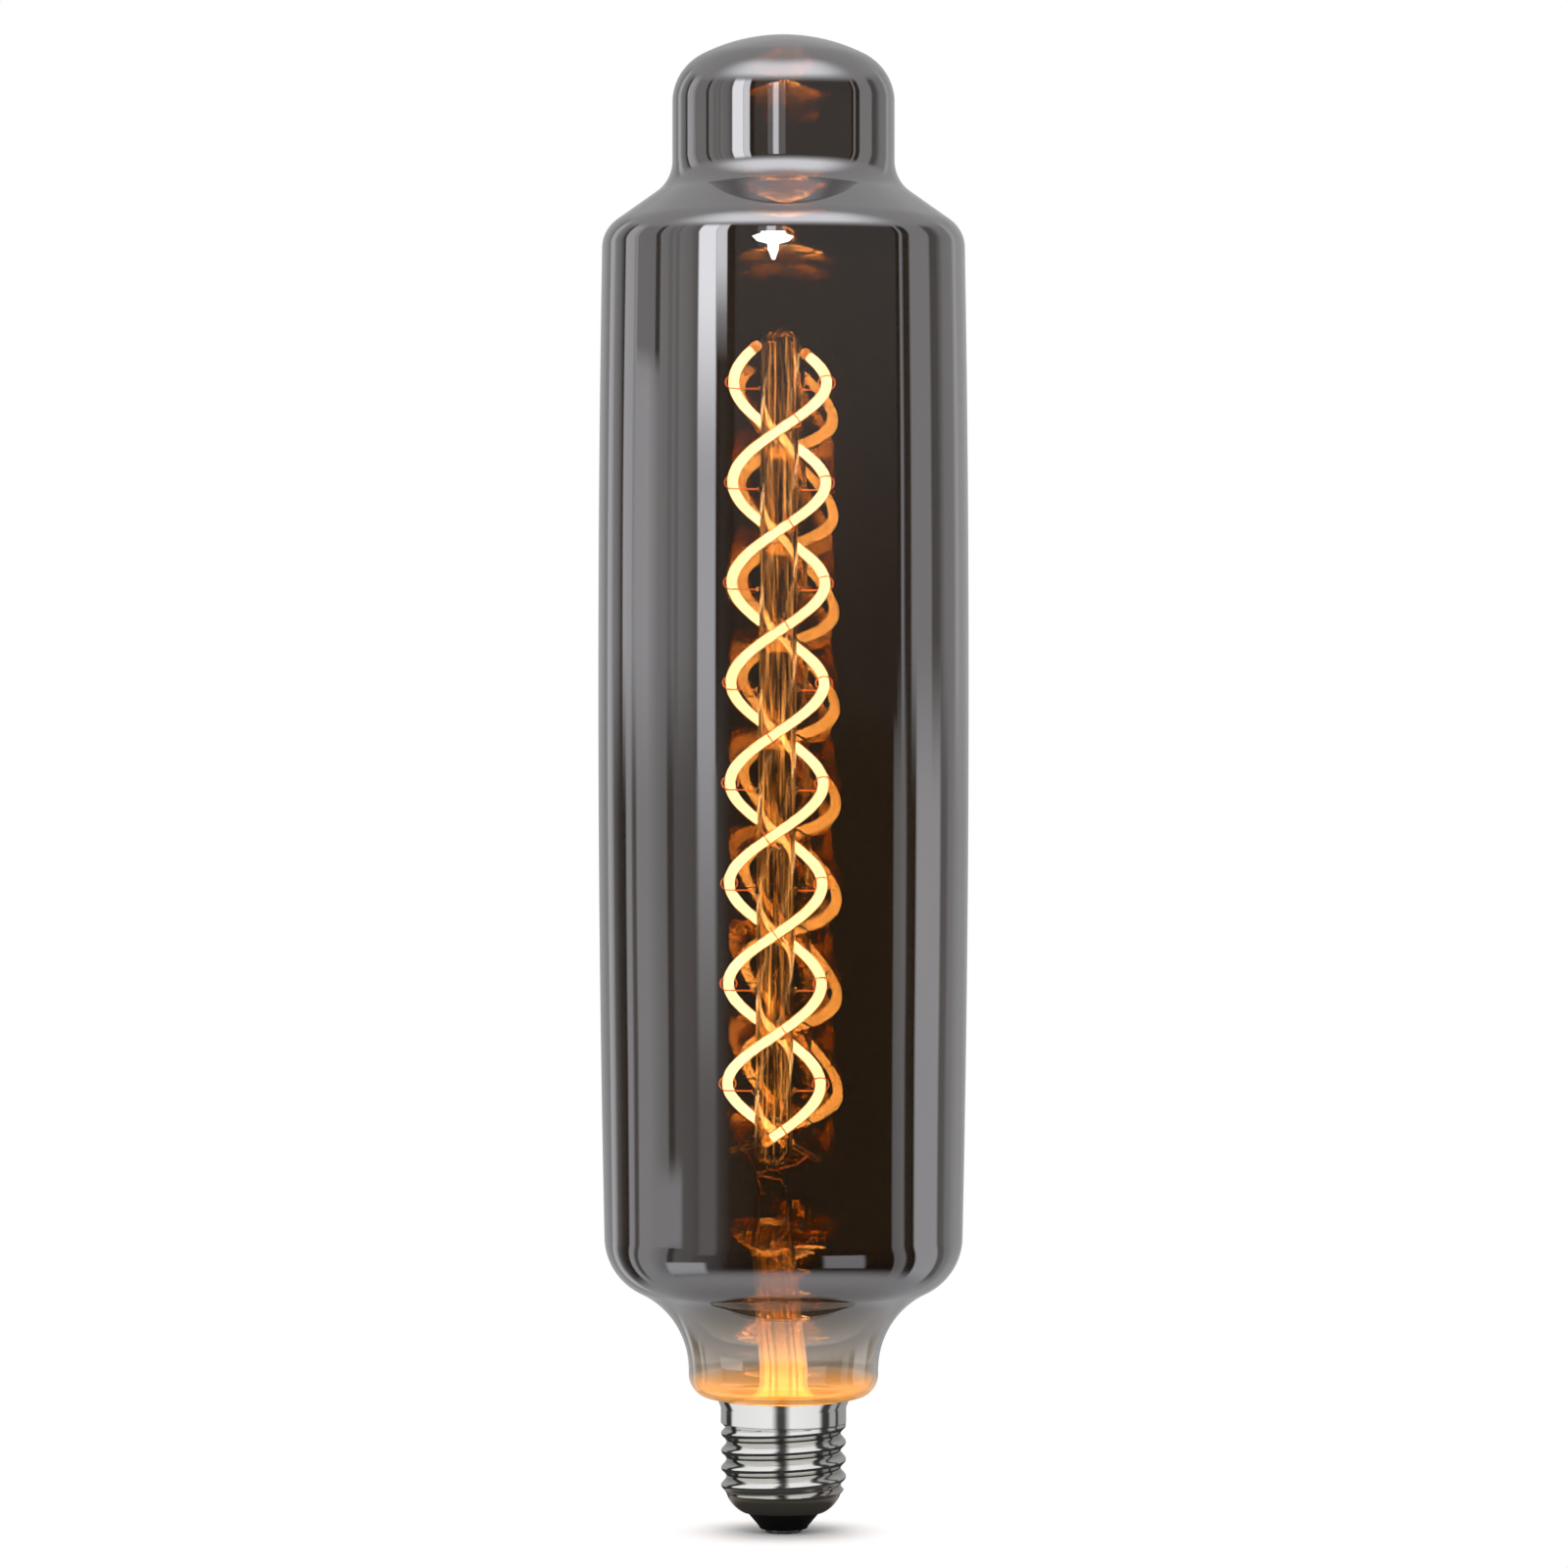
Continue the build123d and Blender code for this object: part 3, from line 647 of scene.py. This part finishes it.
def silicone_sleeve():
    material, tree = new_material("phosphor_silicone")
    shader = add(
        tree,
        "ShaderNodeBsdfPrincipled",
        Base_Color=two_tones(tree, grain(tree, 0.5), "#FFE9C8", "#FFF6E4"),
        Roughness=grain(tree, 0.5, low=0.08, high=0.14),
        IOR=SLEEVE_IOR,
        Transmission_Weight=0.9,
        Emission_Color=linear("#FFA238"),
        Emission_Strength=SLEEVE_GLOW,
    )
    return finished(material, shader)


core_light = glowing_core()
finishes["strand_silicone"] = silicone_sleeve()

# %% [markdown]
# ## Nickel plate
#
# The cap is brass strip, rolled into a thread and plated with bright nickel. Metallic 1 and a
# low roughness give the hard, silvery reflections. Rolling leaves fine lines round the cap, drawn
# here at 0.25 mm so that they just show, and the thread's roots get a little painted shade, a
# darker tone found by their distance from the axis. The tabs are cut from nickel-plated strip and
# are a bit duller.

# %% Nickel, and plated strip
ROOT_SHADE_DEPTH = 0.3
ROLLED_LINE, ROLLED_DEPTH, ROLLED_STRETCH = 0.25, 0.0015, (30, 30, 1)


def nickel_plate():
    material, tree = new_material("rolled_nickel_plate")
    place = add(tree, "ShaderNodeTexCoord").outputs["Object"]
    level = {"_0": place, "_1": (1.0, 1.0, 0.0)}
    flat = add(tree, "ShaderNodeVectorMath", {"operation": "MULTIPLY"}, **level).outputs[0]
    reach = add(tree, "ShaderNodeVectorMath", {"operation": "LENGTH"}, _0=flat).outputs["Value"]
    # Painted shade: the plate is darker towards the thread's roots
    crest = rise(tree, reach, THREAD_ROOT, THREAD_CREST - ROOT_SHADE_DEPTH)
    shader = add(
        tree,
        "ShaderNodeBsdfPrincipled",
        Base_Color=two_tones(tree, crest, "#B4B1AB", "#DEDEDC"),
        Metallic=1.0,
        Roughness=grain(tree, 1.5, (6, 6, 1), 0.09, 0.17),
        Normal=relief(tree, ROLLED_LINE, ROLLED_DEPTH, ROLLED_STRETCH),
    )
    return finished(material, shader)


def plated_strip():
    material, tree = new_material("stamped_nickel_strip")
    shader = add(
        tree,
        "ShaderNodeBsdfPrincipled",
        Base_Color=two_tones(tree, grain(tree, 1.0), "#B9A88E", "#D8CFC0"),
        Metallic=1.0,
        Roughness=grain(tree, 0.6, low=0.22, high=0.38),
        Normal=relief(tree, 0.2, 0.002, (1, 8, 1)),
    )
    return finished(material, shader)


finishes["cap_metal"] = nickel_plate()
finishes["tab_metal"] = plated_strip()

# %% [markdown]
# ## Wires
#
# The hooks are drawn molybdenum, heated when they are melted into the pillar, so a brown oxide
# skin dulls them: Metallic stays below 1. They touch the strands, whose light makes them look
# red-orange, and that light is painted on as a weak red-orange glow, since few light paths find
# such thin wire through two walls of glass. The leads are copper-clad, redder where they were
# sealed into glass. The fine scratches of the drawing die run along a wire and are too thin to
# see, so a patchy oxide of half a millimetre shows instead.

# %% Wires
HOOK_GLOW = 6.0


def oxidised_wire():
    material, tree = new_material("oxidised_molybdenum_wire")
    shader = add(
        tree,
        "ShaderNodeBsdfPrincipled",
        Base_Color=two_tones(tree, grain(tree, 0.5), "#A8683E", "#C88E62"),
        Metallic=0.7,
        Roughness=grain(tree, 0.5, low=0.3, high=0.45),
        # Painted strand light: a weak red-orange glow on the wire
        Emission_Color=linear("#FF7838"),
        Emission_Strength=kept_in_glass(tree, HOOK_GLOW),
    )
    return finished(material, shader)


def copper_lead():
    material, tree = new_material("copper_clad_lead_wire")
    shader = add(
        tree,
        "ShaderNodeBsdfPrincipled",
        Base_Color=two_tones(tree, grain(tree, 0.8, (1, 1, 4)), "#B06A42", "#D49A70"),
        Metallic=1.0,
        Roughness=grain(tree, 0.5, low=0.22, high=0.36),
    )
    return finished(material, shader)


finishes["hook_wire"] = oxidised_wire()
finishes["lead_wire"] = copper_lead()

# %% [markdown]
# ## Contact and cap glass
#
# The centre contact is brass, dipped in tin: soft, slightly wavy and grey-white. Round it sits
# the cap's insulator, black glass pressed hot into the shell. It is glossy, with a few pits and
# faint flow marks from the press.

# %% Tinned contact and black cap glass
CAP_GLASS_IOR = 1.55


def tinned_contact():
    material, tree = new_material("dip_tinned_brass")
    shader = add(
        tree,
        "ShaderNodeBsdfPrincipled",
        Base_Color=two_tones(tree, grain(tree, 1.2), "#BDBDBA", "#DADAD8"),
        Metallic=1.0,
        Roughness=grain(tree, 0.8, low=0.2, high=0.36),
        Normal=relief(tree, 1.6, 0.03),
    )
    return finished(material, shader)


def black_cap_glass():
    material, tree = new_material("pressed_black_cap_glass")
    shader = add(
        tree,
        "ShaderNodeBsdfPrincipled",
        Base_Color=two_tones(tree, grain(tree, 2.0), "#08080A", "#131316"),
        Roughness=grain(tree, 1.2, low=0.1, high=0.24),
        IOR=CAP_GLASS_IOR,
        Normal=relief(tree, 0.7, 0.01),
    )
    return finished(material, shader)


finishes["contact_metal"] = tinned_contact()
finishes["insulator_glass"] = black_cap_glass()

# %% [markdown]
# ## What is hidden in the cap
#
# These sit inside the cap and show only in a copy that is cut open. The cement is a baked
# marble-flour mix, chalky and grainy. The board is glass-fibre laminate, whose 0.5 mm weave
# shows through its green mask. The chips are moulded epoxy, the capacitor has a shrunk PVC
# sleeve, the resistor is dipped in lacquer, and the hook-up wire has smooth PVC insulation.

# %% Solids that aren't metal or glass
BOARD_WEAVE = 0.5


def dull_solid(name, dark, light, size, rough, depth):
    """A plain solid whose tone, gloss and relief all vary over one size of grain."""
    material, tree = new_material(name)
    shader = add(
        tree,
        "ShaderNodeBsdfPrincipled",
        Base_Color=two_tones(tree, grain(tree, size), dark, light),
        Roughness=grain(tree, size, low=rough[0], high=rough[1]),
        Normal=relief(tree, size, depth),
    )
    return finished(material, shader)


def masked_board():
    material, tree = new_material("solder_masked_laminate")
    place = add(tree, "ShaderNodeTexCoord").outputs["Object"]
    weave = add(tree, "ShaderNodeTexChecker", Vector=place, Scale=1 / (BOARD_WEAVE * MM)).outputs["Fac"]
    shader = add(
        tree,
        "ShaderNodeBsdfPrincipled",
        Base_Color=two_tones(tree, weave, "#1B4628", "#245532"),
        Roughness=grain(tree, 1.0, low=0.28, high=0.4),
        Normal=relief(tree, BOARD_WEAVE, 0.01),
    )
    return finished(material, shader)


finishes["board"] = masked_board()
for slot, *look in [
    ("cement", "baked_cap_cement", "#B9A47E", "#D6C5A2", 0.4, (0.75, 0.95), 0.05),
    ("component_black", "moulded_epoxy", "#121214", "#1E1E21", 0.15, (0.45, 0.6), 0.01),
    ("component_sleeve", "shrunk_pvc", "#18244A", "#202F5C", 0.8, (0.25, 0.4), 0.01),
    ("component_ceramic", "dipped_lacquer", "#86A8B2", "#9CBCC4", 0.6, (0.25, 0.45), 0.02),
    ("insulated_wire", "pvc_insulation", "#A52620", "#BC342B", 0.5, (0.3, 0.45), 0.01),
]:
    finishes[slot] = dull_solid(*look)

# %% [markdown]
# ## Each solid gets its finish
#
# The frame says which material slot each solid has, so one loop gives out the finishes. A solid's
# mesh isn't touched. The stem's flare, the new cap and the strands get theirs by hand.

# %% Finishes by slot
slot_of = {part["node"]: part["material_slot"] for part in frame["record"]["subparts"]}
dressed = [name for name in nodes if slot_of[name] in finishes]
for name in dressed:
    nodes[name].data.materials.clear()
    nodes[name].data.materials.append(finishes[slot_of[name]])
nodes["stem_flare"].data.materials.clear()
nodes["stem_flare"].data.materials.append(stem_glass)
cap.data.materials.append(finishes["cap_metal"])
for name, strand in strands.items():
    strand.data.materials.append(finishes["strand_silicone"])
    strand.data.materials.append(core_light)
    for face in strand.data.polygons[sleeve_faces[name] :]:
        face.material_index = 1
print("finishes:", len(finishes), "solids with one:", len(dressed))

# %% [markdown]
# ## Camera
#
# The photograph was taken level with the middle of the lamp, from a little over a metre away.
# The lens follows from that distance and from how much of the lamp's plane the picture takes in.

# %% Camera
PHOTO_WIDTH_PX = 1600
PX_PER_MM = 4.846
AXIS_PX = 799.5
BASE_PX = 1563.0
CAMERA_DISTANCE = 1.2

camera_data = bpy.data.cameras.new("camera")
camera = bpy.data.objects.new("camera", camera_data)
scene.collection.objects.link(camera)
scene.camera = camera
seen_width = PHOTO_WIDTH_PX / PX_PER_MM * MM
camera_data.lens = camera_data.sensor_width * CAMERA_DISTANCE / seen_width
centre_x = (PHOTO_WIDTH_PX / 2 - AXIS_PX) / PX_PER_MM * MM
centre_z = (BASE_PX - PHOTO_WIDTH_PX / 2) / PX_PER_MM * MM
camera.location = (centre_x, -CAMERA_DISTANCE, centre_z)
camera.rotation_euler = (radians(90), 0, 0)
print("lens in mm:", round(camera_data.lens, 1))

# %% [markdown]
# ## World
#
# The world is plain white, at a strength of 1 for the picture and for what shows in metal and
# through glass, and a little weaker as the soft light on the object. Light Path tells the rays
# apart. An image of a studio could be used as well, but plain white is what the background needs.

# %% World
scene.view_settings.view_transform = "Standard"
SKY_LIGHT = 0.8

world = bpy.data.worlds.new("white_studio")
world.use_nodes = True
scene.world = world
tree = world.node_tree
tree.nodes.clear()
path = add(tree, "ShaderNodeLightPath")
seen = add(
    tree,
    "ShaderNodeMath",
    {"operation": "MAXIMUM"},
    _0=path.outputs["Is Camera Ray"],
    _1=path.outputs["Is Glossy Ray"],
)
seen = add(
    tree,
    "ShaderNodeMath",
    {"operation": "MAXIMUM"},
    _0=seen.outputs[0],
    _1=path.outputs["Is Transmission Ray"],
)
strength = add(tree, "ShaderNodeMapRange", Value=seen.outputs[0], To_Min=SKY_LIGHT, To_Max=1.0)
sky = add(tree, "ShaderNodeBackground", Color=linear("#FFFFFF"), Strength=strength.outputs[0])
add(tree, "ShaderNodeOutputWorld", Surface=sky.outputs[0])
print("soft light from the world:", SKY_LIGHT)

# %% [markdown]
# ## Tones of the studio shell
#
# Round the lamp stands one big shell of card: a table ring, an upright wall and a domed ceiling.
# On a mirror-like tube each upright stripe of the picture shows one compass bearing of the wall,
# so the wall is painted by bearing: pale panels, dark doorways, thin bars, and a long window on
# the left. Two lists hold the tones above and below a soft shadow line near the horizon. Single
# cards with soft edges lie over them, and the ceiling glows in front of the lamp, which lights
# the dome, the shoulder and the foot. A few numbers at each point of a mesh do this without any
# image, and more evenly than dozens of separate cards.

# %% Room sizes, and the wall's tones
SHELL_DISTANCE = 1500.0
LAMP_MIDDLE = 157.5
TABLE_INNER, TABLE_NEAR, TABLE_DARK = 24.0, 72.0, 115.0
WALL_HEAD = 30.0
SHADOW_LINE = 0.97

# Bearing from the camera in degrees, + to the right, and the wall's tone there. A fully lit white
# card is 1. Both lists run from behind, round by the left and the front, to behind again.
UPPER_TONES = [
    (-180, 0.55), (-152, 0.55), (-142, 0.42), (-139, 1.0), (-134, 0.9), (-131, 0.55),
    (-124, 0.4), (-118.5, 0.05), (-117, 1.05), (-108, 1.0), (-107, 0.75), (-105.5, 0.75),
    (-104, 0.88), (-93, 0.93), (-88, 0.74), (-83, 0.55), (-77, 0.5), (-75.5, 0.4),
    (-73.5, 0.4), (-72, 0.5), (-69, 0.35), (-67, 0.5), (-60, 0.42), (-56, 0.3),
    (-41, 0.03), (-38, 0.06), (-32, 0.03), (70, 0.03), (76.5, 0.03),
    (77.5, 0.6), (79, 0.5), (80, 0.05), (84.5, 0.05), (86, 0.6), (102.5, 0.58),
    (105, 0.18), (111, 0.18), (119, 0.48), (131, 0.48), (136, 0.85), (142, 0.62),
    (150, 0.57), (180, 0.55),
]

LOWER_TONES = [
    (-180, 0.5), (-152, 0.5), (-142, 0.45), (-138, 1.0), (-133, 0.8), (-129, 0.25),
    (-122, 0.08), (-115, 0.03), (-113, 0.75), (-109, 0.7), (-106.5, 0.2), (-104, 0.2),
    (-102, 0.65), (-92, 0.65), (-83, 0.48), (-77, 0.42), (-75, 0.1), (-72, 0.1),
    (-70, 0.25), (-58, 0.22), (-55, 0.18), (-41, 0.12), (-38, 0.09),
    (-33, 0.03), (-15, 0.01), (70.5, 0.01), (72, 0.33), (80, 0.42),
    (82, 0.04), (88.5, 0.02), (90.5, 0.9), (112, 0.85), (114.5, 0.25), (120, 0.25),
    (124, 0.45), (130, 0.48), (133, 0.55), (142, 0.58), (150, 0.5), (180, 0.5),
]
print("tone stops above and below the shadow line:", len(UPPER_TONES), len(LOWER_TONES))

# %% Soft edges


def tone_along(stops, bearing):
    """Straight between two neighbouring stops."""
    for (a, low), (b, high) in zip(stops, stops[1:]):
        if bearing <= b:
            return low + (high - low) * (bearing - a) / (b - a)
    return stops[-1][1]


def ease(value, low, high):
    """0 below the range and 1 above it, with soft ends."""
    share = min(1.0, max(0.0, (value - low) / (high - low)))
    return share * share * (3 - 2 * share)


def patch(bearing, angle, bearings, angles, soft):
    """How far a place is inside a card with soft edges, from 0 to 1."""
    inside = ease(bearing, bearings[0] - soft, bearings[0] + soft)
    inside *= 1 - ease(bearing, bearings[1] - soft, bearings[1] + soft)
    inside *= ease(angle, angles[0] - soft / 2, angles[0] + soft / 2)
    return inside * (1 - ease(angle, angles[1] - soft / 2, angles[1] + soft / 2))


# %% Tone at a place on the shell


def table_angle(radius):
    """Angle of the line from the lamp's middle down to the table at this radius."""
    return -degrees(atan2(LAMP_MIDDLE, radius))


CEILING_TONE, GLOW_TONE = 0.66, 2.3
TABLE_TONE, UNDER_TONE = 0.6, 0.42
SHADOW_SOFTNESS, TABLE_SOFTNESS, ROOM_SOFTNESS = 2.0, 2.0, 0.5
UNDER_BLEND = (table_angle(TABLE_INNER), table_angle(TABLE_NEAR))
TABLE_BLEND = (table_angle(TABLE_NEAR), table_angle(TABLE_DARK))
HEAD_BLEND = (WALL_HEAD - 4, WALL_HEAD + 6)
GLOW_RISES, GLOW_FADES = (32, 47), (58, 84)
GLOW_AHEAD = (-0.1, 0.85)


def shell_tone(bearing, angle):
    """Tone of the shell: the painted wall, cards over it, the table below and the ceiling above."""
    lower, upper = tone_along(LOWER_TONES, bearing), tone_along(UPPER_TONES, bearing)
    shadow = (SHADOW_LINE - SHADOW_SOFTNESS, SHADOW_LINE + SHADOW_SOFTNESS)
    tone = lower + (upper - lower) * ease(angle, *shadow)
    # Bearings of a card, its angles above the horizon, and its tone
    cards = [
        # Three pale sheets on the table and along its edge
        ((24, 50), (-54, -30), 0.5),
        ((-90, -66), (-16.5, -11), 0.62),
        ((-77, -48), (-60, -46), 0.95),
        # The dark room in front, and a dull panel with a dark gap on the left
        ((-30, 74), (1, 34), 0.03 + 0.08 * ease(angle, 1, 12)),
        ((-104, -87), (8.3, 34), 0.48),
        ((-87, -83), (8.3, 34), 0.1),
        # The long window, and a second pane beside its top
        ((-54, -42), (-30, 34), 0.3 + 0.9 * ease(angle, -9, 4) + 1.6 * ease(angle, 6, 10.5)),
        ((-42, -35), (9.0, 34), 0.4 + 1.7 * ease(angle, 9.2, 11.0)),
        # A dim panel high in front, with a bright bar down it
        ((-16, 2), (11.4, 26), 0.35),
        ((-10.5, -5), (11.4, 26), 1.9),
    ]
    softness = TABLE_SOFTNESS if angle < 0 else ROOM_SOFTNESS
    for card_bearings, card_angles, card in cards:
        tone += (card - tone) * patch(bearing, angle, card_bearings, card_angles, softness)
    tone += (TABLE_TONE - tone) * (1 - ease(angle, *TABLE_BLEND))
    tone += (UNDER_TONE - tone) * (1 - ease(angle, *UNDER_BLEND))
    glow = ease(cos(radians(bearing)), *GLOW_AHEAD) * ease(angle, *GLOW_RISES)
    glow *= 1 - ease(angle, *GLOW_FADES)
    ceiling = CEILING_TONE + (GLOW_TONE - CEILING_TONE) * glow
    return tone + (ceiling - tone) * ease(angle, *HEAD_BLEND)


print("tone of the wall straight ahead:", round(shell_tone(0, 0), 2))

# %% [markdown]
# ## Building the shell
#
# The tones become an attribute of the mesh, which one glowing material reads. Only reflections see
# the sheets, and only from their painted side: from behind they are transparent, so a sheet never
# hides the lamp and sends no light onto it.

# %% Studio sheets


def glossy_only(sheet):
    """A studio card that only reflections see."""
    scene.collection.objects.link(sheet)
    for ray in ("camera", "diffuse", "transmission", "shadow", "volume_scatter"):
        setattr(sheet, f"visible_{ray}", False)


def at_bearing(bearing, distance, z):
    """Place at a bearing from the camera's side, in millimetres."""
    return (distance * sin(radians(bearing)), -distance * cos(radians(bearing)), z)


def card_mesh(name, rows, tones):
    """A sheet from equally long rows of points in millimetres, with a tone at each point."""
    count = len(rows[0])
    faces = []
    for j in range(len(rows) - 1):
        for i in range(count - 1):
            low, high = j * count + i, (j + 1) * count + i
            faces.append((low + 1, low, high, high + 1))
    mesh = bpy.data.meshes.new(name)
    mesh.from_pydata([Vector(p) * MM for row in rows for p in row], [], faces)
    painted = mesh.attributes.new("tone", "FLOAT", "POINT")
    painted.data.foreach_set("value", [tone for row in tones for tone in row])
    mesh.materials.append(painted_card)
    glossy_only(bpy.data.objects.new(name, mesh))
    print(name, "faces:", len(faces))


painted_card, tree = new_material("airbrushed_card")
tone = add(tree, "ShaderNodeAttribute", {"attribute_name": "tone"}).outputs["Fac"]
lit = add(tree, "ShaderNodeEmission", Color=linear("#FFFFFF"), Strength=tone).outputs[0]
behind = add(tree, "ShaderNodeNewGeometry").outputs["Backfacing"]
gone = add(tree, "ShaderNodeBsdfTransparent").outputs[0]
finished(painted_card, add(tree, "ShaderNodeMixShader", _0=behind, _1=lit, _2=gone))
painted_card.cycles.emission_sampling = "NONE"

# %% Studio shell
TABLE_STEP, TABLE_STEPS = 2.0, 29
WALL_STEP = 0.5
CEILING_STEP, CEILING_STEPS = 3.0, 20
BEARING_STEP = 0.75
TABLE_Z = 1.0


def shell_point(bearing, angle):
    """Place on the shell: table top, then upright wall, then a domed ceiling."""
    climb = SHELL_DISTANCE * tan(radians(angle))
    if climb < -LAMP_MIDDLE:
        return at_bearing(bearing, -LAMP_MIDDLE / tan(radians(angle)), TABLE_Z)
    if angle <= WALL_HEAD:
        return at_bearing(bearing, SHELL_DISTANCE, LAMP_MIDDLE + climb)
    far = SHELL_DISTANCE / cos(radians(WALL_HEAD))
    return at_bearing(bearing, far * cos(radians(angle)), LAMP_MIDDLE + far * sin(radians(angle)))


angles = [table_angle(TABLE_INNER) + TABLE_STEP * i for i in range(TABLE_STEPS + 1)]
wall_steps = int((WALL_HEAD - angles[-1]) / WALL_STEP)
angles += [angles[-1] + WALL_STEP * i for i in range(1, wall_steps + 1)]
angles += [WALL_HEAD + CEILING_STEP * i for i in range(1, CEILING_STEPS + 1)]
bearings = [-180 + BEARING_STEP * i for i in range(int(360 / BEARING_STEP) + 1)]
rows = [[shell_point(b, a) for b in bearings] for a in angles]
tones = [[shell_tone(b, a) for b in bearings] for a in angles]
card_mesh("studio_shell", rows, tones)

# %% [markdown]
# ## Hanging spot box
#
# High on the tube, a little left of its middle, the brightest reflection is a wide, short shape
# that narrows to a tip below. It is a hanging box with a cone under it, cut out here as a sheet.

# %% Hanging spot box
SPOT_DISTANCE = 500.0
SPOT_TONE = 7.0

# Height, and the bearings of the left and the right edge there
SPOT_OUTLINE = [
    (322, -7, -5), (325.5, -9.5, -3), (328.5, -9.5, -3),
    (330, -16, 3), (332.5, -19, 6), (334, -14, 1), (336, -13, 1),
]

rows = [[at_bearing(b, SPOT_DISTANCE, z) for b in (left, right)] for z, left, right in SPOT_OUTLINE]
card_mesh("spot_box", rows, [[SPOT_TONE] * 2] * len(rows))

# %% [markdown]
# ## Light tent round the cap
#
# The cap's skirt and thread crests are upright mirrors, so they show whatever stands beside the
# cap: two white fields with a dark gap, as two soft boxes give. A small tent of card does that.
# Its wall stands just inside the bowl's width and its lid lies under the bowl, and both face
# inwards only, so neither the camera nor the glass sees them. A dark ramp follows the thread half
# a turn below each crest and faces up, so the lower flanks show it as painted shade between the
# bright crests.

# %% Light tent round the cap
TENT_RADIUS, TENT_LID_RADIUS = 20.5, 13.9
TENT_LOW_Z, TENT_FULL_Z, TENT_TOP_Z = 3.0, 8.0, 27.6
TENT_BEARING_STEP = 1.5
TENT_TONES = [
    (-180, 0.35), (-97, 0.4), (-92, 0.03), (-81, 0.03), (-76, 1.0), (-15, 1.1),
    (-7, 0.07), (1, 0.07), (9, 1.1), (47, 1.0), (53, 0.05), (64, 0.05),
    (67, 0.45), (78, 0.45), (80, 0.05), (85, 0.05), (88, 0.4), (180, 0.35),
]

# Radius, height, and the share of the tone that is left there
tent = [
    (TENT_RADIUS, TENT_LOW_Z, 0.05),
    (TENT_RADIUS, TENT_FULL_Z, 1.0),
    (TENT_RADIUS, TENT_TOP_Z, 1.0),
    (TENT_LID_RADIUS, TENT_TOP_Z, 1.0),
]
bearings = [-180 + TENT_BEARING_STEP * i for i in range(int(360 / TENT_BEARING_STEP) + 1)]
rows = [[at_bearing(b, radius, z) for b in bearings] for radius, z, _ in tent]
tones = [[share * tone_along(TENT_TONES, b) for b in bearings] for _, _, share in tent]
card_mesh("cap_tent", rows, tones)

# %% Dark ramp along the thread
RAMP_INNER, RAMP_OUTER = 13.6, TENT_RADIUS - 0.1
RAMP_FROM, RAMP_TO, RAMP_STEPS = 0.2, 4.4, 400
RAMP_TONE = 0.04

# A dark sheet of painted shade for the thread's lower flanks
turns = [RAMP_FROM + (RAMP_TO - RAMP_FROM) * i / RAMP_STEPS for i in range(RAMP_STEPS + 1)]
places = [(90 + 360 * turn, THREAD_LOW_Z + THREAD_PITCH * (turn - 0.5)) for turn in turns]
rows = [[at_bearing(b, radius, z) for b, z in places] for radius in (RAMP_INNER, RAMP_OUTER)]
card_mesh("thread_ramp", rows, [[RAMP_TONE] * len(turns)] * 2)

# %% [markdown]
# ## Floor
#
# The floor is a pale disc. The camera sees it as plain paper under the cap, with the lamp's own
# soft shadow, and as white further out, where it blends with the white world. Reflections see it
# greyer, as painted shade, and darkest right under the lamp, as a painted shadow.

# %% Floor
FLOOR_RADIUS, FLOOR_CORNERS = 455.0, 96
FLOOR_FADE = (9.0, 24.0)
UNDER_LAMP_SHADOW = (15.0, 24.0)


def floor_material():
    material, tree = new_material("pale_floor")
    place = add(tree, "ShaderNodeNewGeometry").outputs["Position"]
    away = add(tree, "ShaderNodeVectorMath", {"operation": "LENGTH"}, _0=place).outputs["Value"]
    camera_ray = add(tree, "ShaderNodeLightPath").outputs["Is Camera Ray"]
    fade = rise(tree, away, *FLOOR_FADE)
    seen = add(tree, "ShaderNodeMath", {"operation": "MULTIPLY"}, _0=fade, _1=camera_ray).outputs[0]
    # For reflections only: painted shade in grey, darker still in a painted shadow under the lamp
    tone = add(
        tree,
        "ShaderNodeMix",
        {"data_type": "RGBA"},
        _0=camera_ray,
        _6=two_tones(tree, rise(tree, away, *UNDER_LAMP_SHADOW), "#5A5855", "#AFA8A0"),
        _7=linear("#FFFFFF"),
    )
    paper = add(tree, "ShaderNodeBsdfDiffuse", Color=tone.outputs[2]).outputs[0]
    white = add(tree, "ShaderNodeEmission", Color=linear("#FFFFFF"), Strength=1.0).outputs[0]
    return finished(material, add(tree, "ShaderNodeMixShader", _0=seen, _1=paper, _2=white))


mesh = bpy.data.meshes.new("floor")
rim = [Vector(p) * MM for p in lathe_ring(FLOOR_RADIUS, 0.0, FLOOR_CORNERS)]
mesh.from_pydata(rim, [], [tuple(range(FLOOR_CORNERS))])
mesh.materials.append(floor_material())
floor = bpy.data.objects.new("floor", mesh)
scene.collection.objects.link(floor)
print("floor across, mm:", 2 * FLOOR_RADIUS)

# %% [markdown]
# ## Soft box
#
# One wide soft box in front and above lights the cap, the wires and the floor at a plain level.
# Its reflection isn't wanted twice, since the shell already shows the bright fields, so only
# diffuse surfaces see it.

# %% Soft box in front and above
BOX_WIDTH, BOX_HEIGHT = 1.0, 0.6
BOX_POWER = 5.0
BOX_PLACE, BOX_AIM = Vector((-0.08, -1.1, 1.16)), Vector((0, 0, 0.1))

light = bpy.data.lights.new("soft_box", "AREA")
light.shape = "RECTANGLE"
light.size, light.size_y = BOX_WIDTH, BOX_HEIGHT
light.energy = BOX_POWER
soft_box = bpy.data.objects.new("soft_box", light)
soft_box.location = BOX_PLACE
soft_box.rotation_euler = (BOX_AIM - BOX_PLACE).to_track_quat("-Z", "Y").to_euler()
soft_box.visible_glossy = False
soft_box.visible_transmission = False
soft_box.visible_camera = False
scene.collection.objects.link(soft_box)
print("soft box to its aim, metres:", round((BOX_AIM - BOX_PLACE).length, 2))
